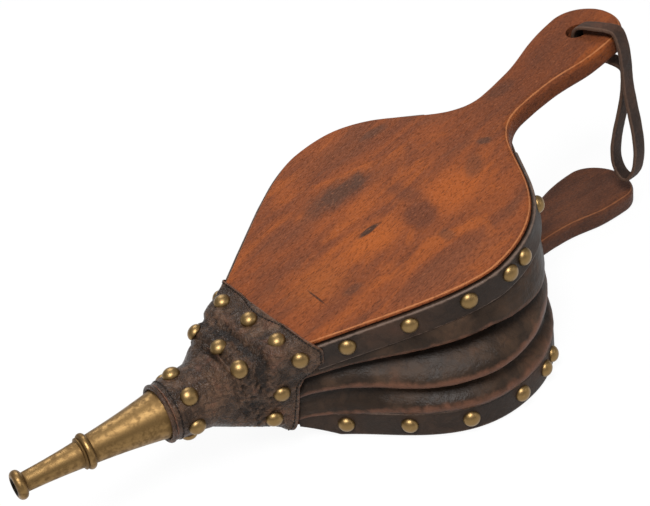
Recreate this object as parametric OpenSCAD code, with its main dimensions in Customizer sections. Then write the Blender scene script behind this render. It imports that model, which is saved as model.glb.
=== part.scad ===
// Hand bellows for a fireplace: two pear-shaped boards, a pleated leather gusset and a brass nozzle.
// The base lies flat on z = 0, the nozzle points to -X and the handles to +X.

/* [Boards] */
// Half width of the top board at the hinge line
nose_hw = 22; // [20:0.5:26]
// Distance from the hinge line to the widest point of the top board
belly_at = 122; // [112:1:132]
// Half width of the top board at its widest point
belly_hw = 85; // [72:1:98]
// Half width of the base at its front line
base_nose_hw = 18.5; // [16.5:0.5:22]
// Distance from the base's front line to its widest point
base_belly_at = 113; // [103:1:123]
// Half width of the base at its widest point
base_belly_hw = 91; // [78:1:104]
// Distance from the widest point of the top board to the neck of the handle
neck_run = 94; // [86:1:106]
// Half width of the neck of the handle
neck_hw = 15; // [12:0.5:19]
// Distance from the neck to the widest point of the grip
bulb_run = 71; // [55:1:90]
// Half width of the grip
bulb_hw = 24; // [20:0.5:30]
// Distance from the widest point of the grip to the end of the handle
end_run = 20; // [15:1:26]
// Thickness of each board
board_t = 14; // [11:0.5:17]
// Radius of the rounded board edges
edge_r = 4; // [2:0.5:5]

/* [Head] */
// Angle between the boards at rest
open_angle = 12.8; // [9:0.2:17]
// Height of the hinge line above the rest face
hinge_z = 65.4; // [60:0.2:74]
// Distance from the hinge line back to the base's front line
hinge_lead = 3.6; // [2:0.2:6]
// Length of the head block in front of the hinge line
block_front = 38; // [32:1:46]
// Length of the head block behind the hinge line
block_back = 33; // [29:1:37]
// Radius of the head block's round front end
head_r = 13.5; // [13.2:0.1:15]
// Radius of the head block's root, where it starts to widen
root_r = 14.4; // [13.8:0.1:16]
// Distance from the front end back to the root
root_at = 21; // [17:0.5:25]
// Height of the front end's centre above the rest face
nozzle_z = 51.2; // [47:0.2:56]
// Upward tilt of the nozzle
nozzle_tilt = 8; // [4:0.5:12]
// Distance from the hinge line back to the start of the base's nose bevel
bevel_back = 41.6; // [37:0.2:46]
// Length over which the nose bevel rises through the base
bevel_run = 23; // [19:0.5:27]
// Radius of the airway drilled through the block
airway_r = 5.5; // [4:0.1:6]

/* [Nozzle] */
// Length of the nozzle in front of the leather
nozzle_l = 78.5; // [68:0.5:95]
// Radius of the nozzle where it meets the leather
nozzle_base_r = 13.2; // [11:0.1:13.2]
// Distance from the leather to the bead
bead_at = 42; // [34:0.5:50]
// Outer radius of the bead
bead_r = 9.4; // [8.6:0.1:11]
// Radius of the slim cone just in front of the bead
slim_r = 6.9; // [6.2:0.1:8]
// Radius of the neck behind the lip
tip_r = 4.9; // [4.4:0.1:5.8]
// Outer radius of the lip
lip_r = 7.4; // [6.6:0.1:9]
// Radius of the bore at the mouth
bore_r = 3.4; // [2.5:0.1:3.6]
// Radius of the spigot inside the block
spigot_r = 9; // [7.5:0.1:10]
// Length of the spigot
spigot_l = 22; // [16:0.5:26]

/* [Leather] */
// Thickness of the pleated gusset
gusset_t = 2; // [1.4:0.1:2.4]
// How far the pleats fold inwards
pleat_depth = 11; // [6:0.5:14]
// How far the pleats bulge outwards
pleat_bulge = 6; // [2:0.5:8]
// Thickness of the nailed edge strips
strip_t = 2; // [1.4:0.1:2.6]
// Height of the upper strip
upper_strip_h = 16; // [14:0.5:20]
// Distance from the top face of the top board to the upper strip
upper_strip_drop = 2.5; // [1:0.25:4]
// Height of the lower strip
lower_strip_h = 16.5; // [14:0.5:20]
// Height of the lower strip's edge above the rest face
lower_strip_z = 1.5; // [0.5:0.25:3]
// Thickness of the head wrap
wrap_t = 1.8; // [1.4:0.1:2.4]
// Length of the head wrap on the top board
wrap_back = 31; // [28:0.5:34]
// Thickness of the leather hinge under the wrap
hinge_leather_t = 1.2; // [0.8:0.1:1.6]
// Radius of the rolled welt round the nozzle
welt_r = 1.3; // [0.9:0.1:1.6]
// Radius of the cane hoop inside the middle pleat
hoop_r = 2; // [1.4:0.1:2.4]

/* [Nails] */
// Radius of the domed nail heads
nail_r = 4.7; // [3.6:0.1:5]
// Height of the domed nail heads
nail_h = 3.7; // [2.4:0.1:4.4]
// Radius of the nail shanks
nail_shank_r = 1; // [0.7:0.1:1.3]
// Length of the nail shanks under the head
nail_l = 12; // [9:0.5:13]
// Spacing of the nails along the upper strip
upper_nail_pitch = 33; // [24:0.5:44]
// Spacing of the nails along the lower strip
lower_nail_pitch = 33.5; // [24:0.5:44]

/* [Inlet valve] */
// Distance of the inlet hole from the origin towards the handle
inlet_x = 12; // [-10:1:30]
// Radius of the inlet hole in the base
inlet_r = 12; // [8:0.5:14]
// Overlap of the valve flap round the hole
flap_lap = 7; // [5:0.5:9]
// Thickness of the valve flap
flap_t = 1.6; // [1:0.1:2]
// Thickness of the wooden stiffener on the flap
stiffener_t = 2.4; // [1.5:0.1:3]
// Clear height of the keeper strap above the base
keeper_h = 20; // [18:0.5:24]

/* [Thong] */
// Width of the hanging thong
thong_w = 9; // [7:0.5:11]
// Thickness of the hanging thong
thong_t = 2.2; // [1.6:0.1:3]
// Radius of the thong's hole in the upper grip
thong_hole_r = 6.5; // [5.5:0.1:8]
// Distance from the hole to the end of the handle
thong_hole_in = 24; // [20:0.5:28]

/* [Hidden] */
$fn = 48;

// Clearance between pieces that lie on each other
fit = 0.3;
// Gap between a board's edge and the strip nailed to it
strip_gap = 0.2;
// Room left round the drilled pins, screws and spigot
drill_gap = 0.1;
// Overrun of a cutting solid past the face it cuts
over = 1;

// Shape factors of the board outline, as shares of the run that they belong to
nose_slope = 0.34;
nose_pull = 0.287;
belly_pull = 0.247;
base_nose_slope = 0;
base_nose_pull = 0.425;
base_belly_pull = 0.507;
shoulder_pull = 0.65;
neck_pull = 0.415;
grip_pull = 0.577;
bulb_pull = 0.507;
round_pull = 0.5523;
curve_steps = 11;

base_x = -belly_at;
hinge_x = base_x - hinge_lead;
neck_at = belly_at + neck_run;
bulb_at = neck_at + bulb_run;
end_at = bulb_at + end_run;
nozzle_x = hinge_x - block_front;
bevel_x = hinge_x + bevel_back;
bevel_end_x = bevel_x - bevel_run;
nose_edge_t = 2;
base_front_x = bevel_end_x + bevel_run * nose_edge_t / board_t;
shelf_gap = 1;
shelf_z = hinge_z - board_t - shelf_gap;

function bez(a, b, c, d, t) =
    a * pow(1 - t, 3) + 3 * b * t * pow(1 - t, 2) + 3 * c * t * t * (1 - t) + d * pow(t, 3);
function smooth(t) = let (c = max(0, min(1, t))) c * c * (3 - 2 * c);
function lerp(a, b, t) = a + (b - a) * t;
function unit(v) = v / norm(v);

// A board is [place of its belly, half width there, half width of its nose, slope and pulls of the
// nose curve]
top_spec = [belly_at, belly_hw, nose_hw, nose_slope, nose_pull, belly_pull];
base_spec = [base_belly_at, base_belly_hw, base_nose_hw, base_nose_slope, base_nose_pull, base_belly_pull];
// Outline stretches: nose to belly, belly to neck, neck to grip and grip to end
function nose_curve(b, t) = bez(
    [0, b[2]], [b[4] * b[0], b[2] + b[3] * b[4] * b[0]], [b[0] - b[5] * b[0], b[1]], [b[0], b[1]], t);
function shoulder_curve(b, t) = let (run = neck_at - b[0]) bez(
    [b[0], b[1]], [b[0] + shoulder_pull * run, b[1]], [neck_at - neck_pull * run, neck_hw],
        [neck_at, neck_hw], t);
function grip_curve(t) = bez(
    [neck_at, neck_hw], [neck_at + grip_pull * bulb_run, neck_hw],
    [bulb_at - bulb_pull * bulb_run, bulb_hw], [bulb_at, bulb_hw], t);
function end_curve(t) = bez(
    [bulb_at, bulb_hw], [bulb_at + round_pull * end_run, bulb_hw],
    [end_at, round_pull * bulb_hw], [end_at, 0], t);
function half_outline(b) = concat(
    [for (i = [0 : curve_steps - 1]) nose_curve(b, i / curve_steps)],
    [for (i = [0 : curve_steps - 1]) shoulder_curve(b, i / curve_steps)],
    [for (i = [0 : curve_steps - 1]) grip_curve(i / curve_steps)],
    [for (i = [0 : curve_steps]) end_curve(i / curve_steps)]);
function both_sides(half) = concat(
    [for (p = half) [p.x, -p.y]],
    [for (i = [len(half) - 2 : -1 : 0]) half[i]]);
top_outline = both_sides(half_outline(top_spec));
base_outline = both_sides(half_outline(base_spec));

// Outward normals of a run of points that goes round anticlockwise
function run_normal(pts, i, closed) =
    let (n = len(pts),
         a = pts[closed ? (i + n - 1) % n : max(i - 1, 0)],
         b = pts[closed ? (i + 1) % n : min(i + 1, n - 1)],
         d = unit(b - a))
    [d.y, -d.x];
function grown(pts, by, closed = true) =
    [for (i = [0 : len(pts) - 1]) pts[i] + run_normal(pts, i, closed) * by];

// Line that the leather follows: along the board's edge, then across in front of the handle's neck
top_lead_t = 0.19;
base_lead_t = 0.15;
turn_t = 0.62;
rear_lead = 11;
turn_pull = 18;
cross_pull = 13;
lead_steps = 8;
edge_steps = 7;
cross_steps = 5;
leather_rear = neck_at - rear_lead;
function turn_dir(b) = let (step = 0.01) unit(shoulder_curve(b, turn_t) - shoulder_curve(b, turn_t - step));
function cross_curve(b, t) =
    let (p = shoulder_curve(b, turn_t))
    bez(p, p + turn_dir(b) * turn_pull, [leather_rear, cross_pull], [leather_rear, 0], t);
function half_path(b, from) = concat(
    [for (i = [0 : lead_steps - 1]) nose_curve(b, lerp(from, 1, i / lead_steps))],
    [for (i = [0 : edge_steps - 1]) shoulder_curve(b, turn_t * i / edge_steps)],
    [for (i = [0 : cross_steps]) cross_curve(b, i / cross_steps)]);
edge_count = lead_steps + edge_steps;
top_path = both_sides(half_path(top_spec, top_lead_t));
base_path = both_sides(half_path(base_spec, base_lead_t));
path_count = len(top_path);

// Point of the top board's frame, in the frame of the whole object
function from_top(p) = [
    hinge_x + p.x * cos(open_angle) - p.z * sin(open_angle), p.y,
    hinge_z + p.x * sin(open_angle) + p.z * cos(open_angle)];
module in_top() translate([hinge_x, 0, hinge_z]) rotate([0, -open_angle, 0]) children();
module in_nozzle() translate([nozzle_x, 0, nozzle_z]) rotate([0, nozzle_tilt - 90, 0]) children();

// Solid through a list of rings with equal counts; a looped list closes on itself
module skin(rings, looped = false) {
    n = len(rings);
    m = len(rings[0]);
    sides = [for (i = [0 : n - (looped ? 1 : 2)], j = [0 : m - 1], k = [0, 1])
        let (a = i * m, b = ((i + 1) % n) * m, h = (j + 1) % m)
        k == 0 ? [a + j, a + h, b + h] : [a + j, b + h, b + j]];
    ends = looped ? [] : [
        [for (j = [m - 1 : -1 : 0]) j],
        [for (j = [0 : m - 1]) (n - 1) * m + j]];
    polyhedron([for (r = rings, p = r) p],
        [for (f = concat(sides, ends)) [f[0], for (k = [len(f) - 1 : -1 : 1]) f[k]]]);
}

// Flat plate with rounded edges, lying on z = 0
edge_steps_round = 3;
module plate(pts) {
    turns = [for (i = [0 : edge_steps_round]) 90 * i / edge_steps_round];
    levels = concat(
        [for (a = turns) [edge_r * (1 - sin(a)), edge_r * (1 - cos(a))]],
        [for (a = turns) [edge_r * (1 - cos(a)), board_t - edge_r * (1 - sin(a))]]);
    skin([for (l = levels) [for (p = grown(pts, -l[0])) [p.x, p.y, l[1]]]]);
}

// Prism of a side view, as wide as given
module side_prism(pts, width) rotate([90, 0, 0]) linear_extrude(width, center = true) polygon(pts);

bevel_slope = board_t / bevel_run;
module under_bevel() side_prism([
    [bevel_x + over / bevel_slope, -over], [base_front_x, board_t - nose_edge_t],
        [base_front_x, 2 * board_t],
    [nozzle_x, 2 * board_t], [nozzle_x, -over]], 4 * belly_hw);

thong_hole_s = end_at - thong_hole_in;
module top_board() color("sienna") in_top() difference() {
    translate([fit, 0, -board_t]) plate(top_outline);
    translate([thong_hole_s, 0, -board_t - over]) cylinder(board_t + 2 * over, r = thong_hole_r);
}

// The base is lofted along its length, so that its nose can rise with the bevel and its end be rounded
base_front_s = base_front_x - base_x;
base_bevel_s = bevel_x - base_x;
round_steps = 2;
last_hw = 3;
base_half = half_outline(base_spec);
base_stations = concat(
    [for (s = [base_front_s, (base_front_s + base_bevel_s) / 2, base_bevel_s])
        [s, nose_width(base_spec, s)]],
    [for (p = base_half) if (p.x > base_bevel_s + over && p.y > last_hw) p],
    [[end_at - 0.1, last_hw]]);
function base_ring(p) =
    let (near_end = max(0, edge_r - (end_at - p.x)),
        inset = edge_r - sqrt(edge_r * edge_r - near_end * near_end),
         low = max(0, (base_bevel_s - p.x) * bevel_slope) + inset, high = board_t - inset,
         r = min(edge_r, (high - low) * 0.45, p.y * 0.8))
    [for (c = [[1, -1], [1, 1], [-1, 1], [-1, -1]], i = [0 : round_steps])
        let (from = c == [1, -1] ? -90 : c == [1, 1] ? 0 : c == [-1, 1] ? 90 : 180,
            a = from + 90 * i / round_steps)
        [base_x + p.x, c.x * (p.y - r) + r * cos(a), (c.y < 0 ? low + r : high - r) + r * sin(a)]];
module bottom_board() color("sienna") difference() {
    skin([for (p = base_stations) base_ring(p)]);
    translate([inlet_x, 0, -over]) cylinder(board_t + 2 * over, r = inlet_r);
    at_screws() screw(drill_gap, board_t);
}

// Head block: a wedge that sits on the base's nose and narrows to a round neck for the nozzle
block_inset = gusset_t + 3.6;
block_rear_x = hinge_x + block_back;
block_mid_x = (block_rear_x + bevel_end_x) / 2;
root_low_z = nozzle_z - root_at * sin(nozzle_tilt) - root_r * cos(nozzle_tilt);
root_x = nozzle_x + root_at * cos(nozzle_tilt);
nose_slope_z = (root_low_z - board_t) / (bevel_end_x - root_x);
function nose_under_z(x) = board_t + max(0, bevel_end_x - x) * nose_slope_z;
// Half width of a board at a distance behind its nose, looked up along the nose curve
function nose_width(b, s, t = 0) =
    let (p = nose_curve(b, t), q = nose_curve(b, t + 0.02))
    q.x >= s || t > 0.9 ? lerp(p.y, q.y, (s - p.x) / (q.x - p.x)) : nose_width(b, s, t + 0.02);
function base_width(x) = nose_width(base_spec, max(0, x - base_x));
function top_width(x) = nose_width(top_spec, max(0, (x - hinge_x) / cos(open_angle)));
function hem_z(x) = hinge_z + (x - hinge_x) * tan(open_angle) - board_t / cos(open_angle);
function block_half(x, z) =
    lerp(base_width(x), top_width(x), min(1, (z - board_t) / (hem_z(x) - board_t))) - block_inset;
function block_ring(x, z_low, z_high) =
    let (low = block_half(x, z_low), high = block_half(x, z_high))
    [[x, low, z_low], [x, -low, z_low], [x, -high, z_high], [x, high, z_high]];
slab = 2;
airway_z = shelf_z - airway_r - 1.4;
module head_block() color("peru") difference() {
    union() {
        skin([block_ring(block_rear_x, board_t, shelf_z), block_ring(block_mid_x, board_t, shelf_z),
            block_ring(bevel_end_x, board_t, shelf_z),
                block_ring(hinge_x, nose_under_z(hinge_x), shelf_z)]);
        hull() {
            skin([block_ring(hinge_x, nose_under_z(hinge_x), hinge_z),
                block_ring(hinge_x - slab, nose_under_z(hinge_x - slab), hinge_z)]);
            in_nozzle() translate([0, 0, -root_at]) cylinder(slab, r = root_r, $fn = 32);
        }
        in_nozzle() translate([0, 0, -root_at]) cylinder(root_at, r1 = root_r, r2 = head_r);
    }
    in_nozzle() translate([0, 0, -spigot_l - 2 * over])
        cylinder(spigot_l + 4 * over, r = spigot_r + drill_gap);
    translate([nozzle_x + spigot_l - over, 0, airway_z]) rotate([0, 90, 0])
        cylinder(block_rear_x + over - nozzle_x - spigot_l + over, r = airway_r);
    at_pins() pin(drill_gap);
    at_screws() screw(drill_gap);
}

// Two wood screws hold the block on the base from below
screw_y = 11;
screw_r = 2;
screw_head_r = 4;
screw_head_h = 2;
screw_sunk = 0.8;
screw_l = 24;
screw_x = block_rear_x - screw_head_r - over;
screw_z = (bevel_x - screw_x + screw_head_r) * bevel_slope + screw_sunk;
module at_screws() for (y = [-screw_y, screw_y]) translate([screw_x, y, screw_z]) children();
// A cut for the screw runs on below its head by the given depth
module screw(gap, below = 0) rotate_extrude() polygon([
    [0, -below], [screw_head_r + gap, -below], [screw_head_r + gap, 0.01], [screw_r + gap, screw_head_h],
    [screw_r + gap, screw_l], [0, screw_l + 2 + gap]]);
module block_screws() color("dimgray") at_screws() screw(0);

// Turned brass nozzle with a spigot that goes into the block
bead_minor = 2;
step_r = bead_r - 1.2;
step_l = 1.2;
lip_minor = 2.4;
cone_end_r = bead_r - bead_minor;
spigot_bore_r = spigot_r - 2.5;
mouth_l = 14;
mouth_flare = 1;
function arc(cx, cy, r, from, to, n) =
    [for (i = [0 : n]) let (a = lerp(from, to, i / n)) [cx + r * cos(a), cy + r * sin(a)]];
module nozzle() color("darkgoldenrod") in_nozzle() rotate_extrude() polygon(concat(
    [[spigot_bore_r, -spigot_l], [spigot_r, -spigot_l], [spigot_r, fit], [nozzle_base_r, fit]],
    [[cone_end_r, bead_at - bead_minor]],
    arc(cone_end_r, bead_at, bead_minor, -90, 90, 8),
    [[step_r, bead_at + bead_minor], [step_r, bead_at + bead_minor + step_l]],
    [[slim_r, bead_at + bead_minor + step_l], [tip_r, nozzle_l - 2 * lip_minor - over]],
    arc(lip_r - lip_minor, nozzle_l - lip_minor, lip_minor, -90, 90, 8),
    [[bore_r + mouth_flare, nozzle_l], [bore_r, nozzle_l - mouth_flare], [bore_r, nozzle_l - mouth_l]]));

// Two pins through the block's sides lock the spigot
pin_r = 1.2;
pin_depth = 2;
pin_at = 10;
pin_l = 6.5;
module at_pins() for (side = [-1, 1]) in_nozzle() translate([0, side * (spigot_r - pin_depth), -pin_at])
    rotate([-90 * side, 0, 0]) children();
module pin(gap) translate([0, 0, -gap]) cylinder(pin_l + 2 * gap, r = pin_r + gap);
module nozzle_pins() color("gray") at_pins() pin(0);

// Leather hinge glued over the block and the top board
hinge_reach = 15;
hinge_front = 3.5;
hinge_seat = 0.2;
module hinge_leather() color("saddlebrown") {
    root_top_z = nozzle_z - root_at * sin(nozzle_tilt) + root_r * cos(nozzle_tilt);
    drop = (hinge_front - slab) * (hinge_z - root_top_z) / (hinge_x - slab - root_x);
    low = [[hinge_x - hinge_front, hinge_z + hinge_seat - drop], [hinge_x - slab, hinge_z + hinge_seat],
        [hinge_x, hinge_z + hinge_seat]];
    rear_low = from_top([hinge_reach, 0, hinge_seat]);
    rear_high = from_top([hinge_reach, 0, hinge_seat + hinge_leather_t]);
    side_prism(concat(low, [[rear_low.x, rear_low.z], [rear_high.x, rear_high.z]],
        [for (i = [2, 1, 0]) low[i] + [0, hinge_leather_t]]), 2 * (nose_hw - 2 * edge_r));
}

// Head wrap: a leather tube lofted from the boards over the crease and the root to the front end
wrap_over = hinge_seat + hinge_leather_t + 2 * fit;
wrap_root_gap = 2;
wrap_side = strip_gap + strip_t + fit;
wrap_rear_corner = 2.5;
wrap_crease_corner = 8;
wrap_low_x = base_front_x - fit;
wrap_steps = 4;
corner_steps = 5;
function wrap_round(at, r) =
    [nozzle_x + at * cos(nozzle_tilt) + r * sin(nozzle_tilt),
     nozzle_x + at * cos(nozzle_tilt) - r * sin(nozzle_tilt),
     nozzle_z - at * sin(nozzle_tilt) + r * cos(nozzle_tilt),
     nozzle_z - at * sin(nozzle_tilt) - r * cos(nozzle_tilt),
     r, r, r];
// A ring is [x at the top, x below, z at the top, z below, half width at the top, corner radius, half
// width below]
function wrap_keys(t) =
    let (rear = from_top([wrap_back, 0, wrap_over + t]), crease = from_top([0, 0, wrap_over + t]))
    [[rear.x, wrap_low_x, rear.z, (bevel_x - wrap_low_x) * bevel_slope - fit - t,
      nose_width(top_spec, wrap_back) + wrap_side + t, wrap_rear_corner + t,
      base_width(wrap_low_x) + wrap_side + t],
     [crease.x, hinge_x, crease.z, nose_under_z(hinge_x) - fit - t,
      nose_hw + wrap_side + t, wrap_crease_corner + t, base_nose_hw + wrap_side + t],
     wrap_round(root_at, root_r + wrap_root_gap + t), wrap_round(0, head_r + 2 * fit + t)];
// Station u runs from the rear edge, 0, over the crease, 1, and the root, 2, to the front end, 3
function wrap_ring(u, t) = let (k = wrap_keys(t), i = min(floor(u), 2)) lerp(k[i], k[i + 1], u - i);
function wrap_point(u, a, t) =
    let (g = wrap_ring(u, t), c = floor(a / 90) % 4, hh = (g[2] - g[3]) / 2,
         sy = c == 0 || c == 3 ? 1 : -1, sz = c < 2 ? 1 : -1, r = min(g[5], hh),
         v = sz * (hh - r) + r * sin(a), share = (v / hh + 1) / 2,
         y = sy * (lerp(g[6], g[4], share) - g[5]) + r * cos(a))
    [lerp(g[1], g[0], share), y, (g[2] + g[3]) / 2 + v];
corner_gap = 0.01;
wrap_angles = [for (c = [0 : 3], i = [0 : corner_steps]) 90 * c + (90 - corner_gap) * i / corner_steps];
wrap_stations = [for (i = [0 : 3 * wrap_steps]) i / wrap_steps];
module head_wrap() color("#3a2a22") difference() {
    skin([for (a = wrap_angles) concat(
        [for (u = wrap_stations) wrap_point(u, a, 0)],
        [for (i = [len(wrap_stations) - 1 : -1 : 0]) wrap_point(wrap_stations[i], a, wrap_t)])],
            looped = true);
    at_wrap_board_nails() translate([0, 0, -nail_l]) cylinder(nail_l, r = nail_shank_r + fit);
}

module wrap_welt() color("#4a3028") in_nozzle() translate([0, 0, fit + welt_r])
    rotate_extrude() translate([nozzle_base_r + fit + welt_r, 0]) circle(welt_r, $fn = 24);

// Domed nail: the head rests on z = 0 and the shank points down
module nail(l = nail_l) {
    dome_r = (nail_r * nail_r + nail_h * nail_h) / (2 * nail_h);
    dome_a = asin(nail_r / dome_r);
    rotate_extrude() polygon(concat(
        [[0, -l], [nail_shank_r, -l + 2 * nail_shank_r], [nail_shank_r, 0]],
        [for (i = [0 : 6]) let (a = dome_a * (1 - i / 6))
            [dome_r * sin(a), dome_r * cos(a) - dome_r + nail_h]]));
}
module along(p, dir) translate(p) rotate([0, acos(dir.z), atan2(dir.y, dir.x)]) children();

// Nails of the wrap, on its round corners and on its side walls
function wrap_normal(u, a) =
    let (p = wrap_point(u, a, wrap_t), q = wrap_point(u - 0.02, a, wrap_t),
        r = wrap_point(u, a + 1, wrap_t))
    unit(cross(r - p, q - p));
module on_wrap(u, a) along(wrap_point(u, a, wrap_t), wrap_normal(u, a)) children();
function wrap_wall(u, z) =
    let (g = wrap_ring(u, wrap_t), share = (z - g[3]) / (g[2] - g[3]))
    [lerp(g[1], g[0], share), -lerp(g[6], g[4], share), z];
module on_walls(u, z, lift = 0) {
    p = wrap_wall(u, z);
    n = unit(cross(wrap_wall(u, z + 1) - p, wrap_wall(u + 0.02, z) - p));
    along(p + n * lift, n) children();
    mirror([0, 1, 0]) along(p + n * lift, n) children();
}

// Nails that go into the top board: a row on top and one at each side
wrap_nail_in = 8;
wrap_row_y = 25;
wrap_side_in = 4;
module at_wrap_board_nails() {
    for (k = [-1, 0, 1]) in_top()
        translate([wrap_back - wrap_nail_in, k * wrap_row_y, wrap_over + wrap_t + fit])
        children();
    on_walls(wrap_side_in / wrap_back, from_top([wrap_back - wrap_side_in, 0, -board_t / 2]).z, fit)
        children();
}
module wrap_board_nails() color("goldenrod") at_wrap_board_nails() nail();

// Nails that go into the block: across the top, round the neck, at the sides and below
ring_nails = 6;
ring_nail_u = 2.5;
ring_nail_turn = 15;
top_nail_u = 1.2;
top_nail_turn = 38;
// The two at the crease are cut short, because the top board turns close behind them
top_nail_l = 0.55 * nail_l;
module wrap_block_nails() color("goldenrod") {
    for (i = [0 : ring_nails - 1]) on_wrap(ring_nail_u, ring_nail_turn + 360 * i / ring_nails) nail();
    for (side = [-1, 1]) on_wrap(top_nail_u, 90 + side * top_nail_turn) nail(top_nail_l);
    top = wrap_ring(top_nail_u, wrap_t);
    translate([top[0], 0, top[2]]) nail();
    on_walls(0.42, lerp(board_t, shelf_z, 0.85)) nail();
    on_walls(0.6, lerp(board_t, shelf_z, 0.4)) nail();
    under = wrap_ring(0.8, wrap_t);
    for (side = [-1, 1]) along([under[1], side * base_nose_hw / 2, under[3]],
        unit([-nose_slope_z, 0, -1])) nail();
}

// Pleated gusset: a straight hem at each board, lobes and valleys between, flattened towards the head
lobes = 3;
profile_steps = 4 * lobes;
pleat_from = 34;
pleat_full = 60;
pleat_least = 0.03;
hem_run = 5;
hem_in = strip_gap - 3 * fit - gusset_t / 2;
hem_slack = 0.9;
function pleat_share(s) = pleat_least + (1 - pleat_least) * smooth((s - pleat_from) / pleat_full);
// The upper hem keeps further in, because the strip leans over it
function hem_at(v) = hem_in - hem_slack * v;
function pleat_out(v, share) =
    let (c = cos(360 * (lobes * v - 0.5)))
    hem_at(v) + share * (pleat_bulge * (1 + c) / 2 - pleat_depth * sin(180 * v) * (1 - c) / 2);
function hem_low(i) = [base_x + base_path[i].x, base_path[i].y, board_t + fit];
function hem_high(i) = from_top([top_path[i].x, top_path[i].y, -board_t - 3 * fit]);
function hem_gap(i) = norm(hem_high(i) - hem_low(i));
function out_dir(i) = let (n = run_normal(base_path, i, false) + run_normal(top_path, i, false))
    unit([n.x, n.y, 0]);
function on_gusset(i, f, h) = lerp(hem_low(i), hem_high(i), h / hem_gap(i)) + out_dir(i) * f;
function gusset_line(i) =
    let (share = pleat_share(base_path[i].x), run = hem_gap(i) - 2 * hem_run)
    concat([[hem_at(0), 0]],
        [for (j = [0 : profile_steps]) let (v = j / profile_steps)
            [pleat_out(v, share), hem_run + v * run]],
        [[hem_at(1), hem_gap(i)]]);
function gusset_ring(i) =
    let (mid = gusset_line(i), last = len(mid) - 1,
         nrm = [for (j = [0 : last]) j == 0 || j == last ? [1, 0]
             : let (d = unit(mid[j + 1] - mid[j - 1])) [d.y, -d.x]])
    concat(
        [for (j = [0 : last]) let (q = mid[j] + nrm[j] * gusset_t / 2) on_gusset(i, q.x, q.y)],
        [for (j = [last : -1 : 0]) let (q = mid[j] - nrm[j] * gusset_t / 2) on_gusset(i, q.x, q.y)]);
module gusset() color("#33241e") skin([for (i = [0 : path_count - 1]) gusset_ring(i)]);

// Bent cane hoop that keeps the middle lobe in shape
hoop_skip = 3;
hoop_sides = 8;
function hoop_centre(i) =
    let (share = pleat_share(base_path[i].x), height = hem_gap(i),
         rise = (height - 2 * hem_run) / profile_steps, peak = pleat_out(0.5, share),
         drop = peak - pleat_out(0.5 + 1 / profile_steps, share),
         back = (hoop_r + gusset_t / 2 + 2 * fit) * sqrt(rise * rise + drop * drop) / rise)
    on_gusset(i, peak - back, height / 2);
function hoop_ring(i) =
    let (a = hoop_centre(max(i - 1, hoop_skip)), b = hoop_centre(min(i + 1, path_count - 1 - hoop_skip)),
         d = unit(b - a), side = unit(cross(d, [0, 0, 1])), up = cross(side, d))
    [for (k = [0 : hoop_sides - 1]) let (w = 360 * k / hoop_sides)
        hoop_centre(i) + hoop_r * (side * cos(w) + up * sin(w))];
module gusset_hoop() color("burlywood")
    skin([for (i = [hoop_skip : path_count - 1 - hoop_skip]) hoop_ring(i)]);

// Edge strips: bands along the boards' edges that pass across the handle's neck
module band(path, height) {
    inner = grown(path, strip_gap, false);
    outer = grown(path, strip_gap + strip_t, false);
    linear_extrude(height) polygon(concat(outer, [for (i = [len(inner) - 1 : -1 : 0]) inner[i]]));
}
module upper_strip() color("#3a2a22") in_top() difference() {
    translate([0, 0, -upper_strip_drop - upper_strip_h]) band(top_path, upper_strip_h);
    translate([fit, 0, -board_t - strip_gap]) linear_extrude(board_t + over)
        polygon(grown(top_outline, strip_gap / 2));
    translate([-over, -belly_hw, -board_t - upper_strip_h])
        cube([over + wrap_back + fit, 2 * belly_hw, 2 * board_t + upper_strip_h]);
}
module lower_strip() color("#3a2a22") difference() {
    translate([base_x, 0, lower_strip_z]) band(base_path, lower_strip_h);
    translate([base_x, 0, -over]) linear_extrude(board_t + over + strip_gap)
        polygon(grown(base_outline, strip_gap / 2));
    under_bevel();
}

// Nails along the nailed stretch of a strip, in steps of the pitch, with two close together at the rear
upper_nail_first = 29;
lower_nail_first = 25;
upper_nail_steps = [0, 0.985, 1.92, 2.64, 2.985, 4.06];
lower_nail_steps = [0.015, 1.03, 1.97, 2.88, 3.52, 3.86];
// Place of the upper nails from the top of the strip, as a share of its height
upper_nail_share = 0.42;
function run_point(pts, d, i = 0) =
    let (l = norm(pts[i + 1] - pts[i]))
    d <= l || i == len(pts) - 2 ? lerp(pts[i], pts[i + 1], d / l) : run_point(pts, d - l, i + 1);
module strip_nails(path, first, pitch, steps, z) {
    side = [for (i = [0 : edge_count]) path[i]];
    for (k = steps) {
        d = first + pitch * k;
        p = run_point(side, d);
        t = unit(run_point(side, d + over) - run_point(side, d - over));
        q = p + [t.y, -t.x] * (strip_gap + strip_t);
        along([q.x, q.y, z], [t.y, -t.x, 0]) nail();
        along([q.x, -q.y, z], [t.y, t.x, 0]) nail();
    }
}
module upper_strip_nails() color("goldenrod") in_top()
    strip_nails(top_path, upper_nail_first, upper_nail_pitch, upper_nail_steps,
        -upper_strip_drop - upper_strip_h * upper_nail_share);
module lower_strip_nails() color("goldenrod") translate([base_x, 0, 0])
    strip_nails(base_path, lower_nail_first, lower_nail_pitch, lower_nail_steps,
        lower_strip_z + lower_strip_h / 2);

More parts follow.
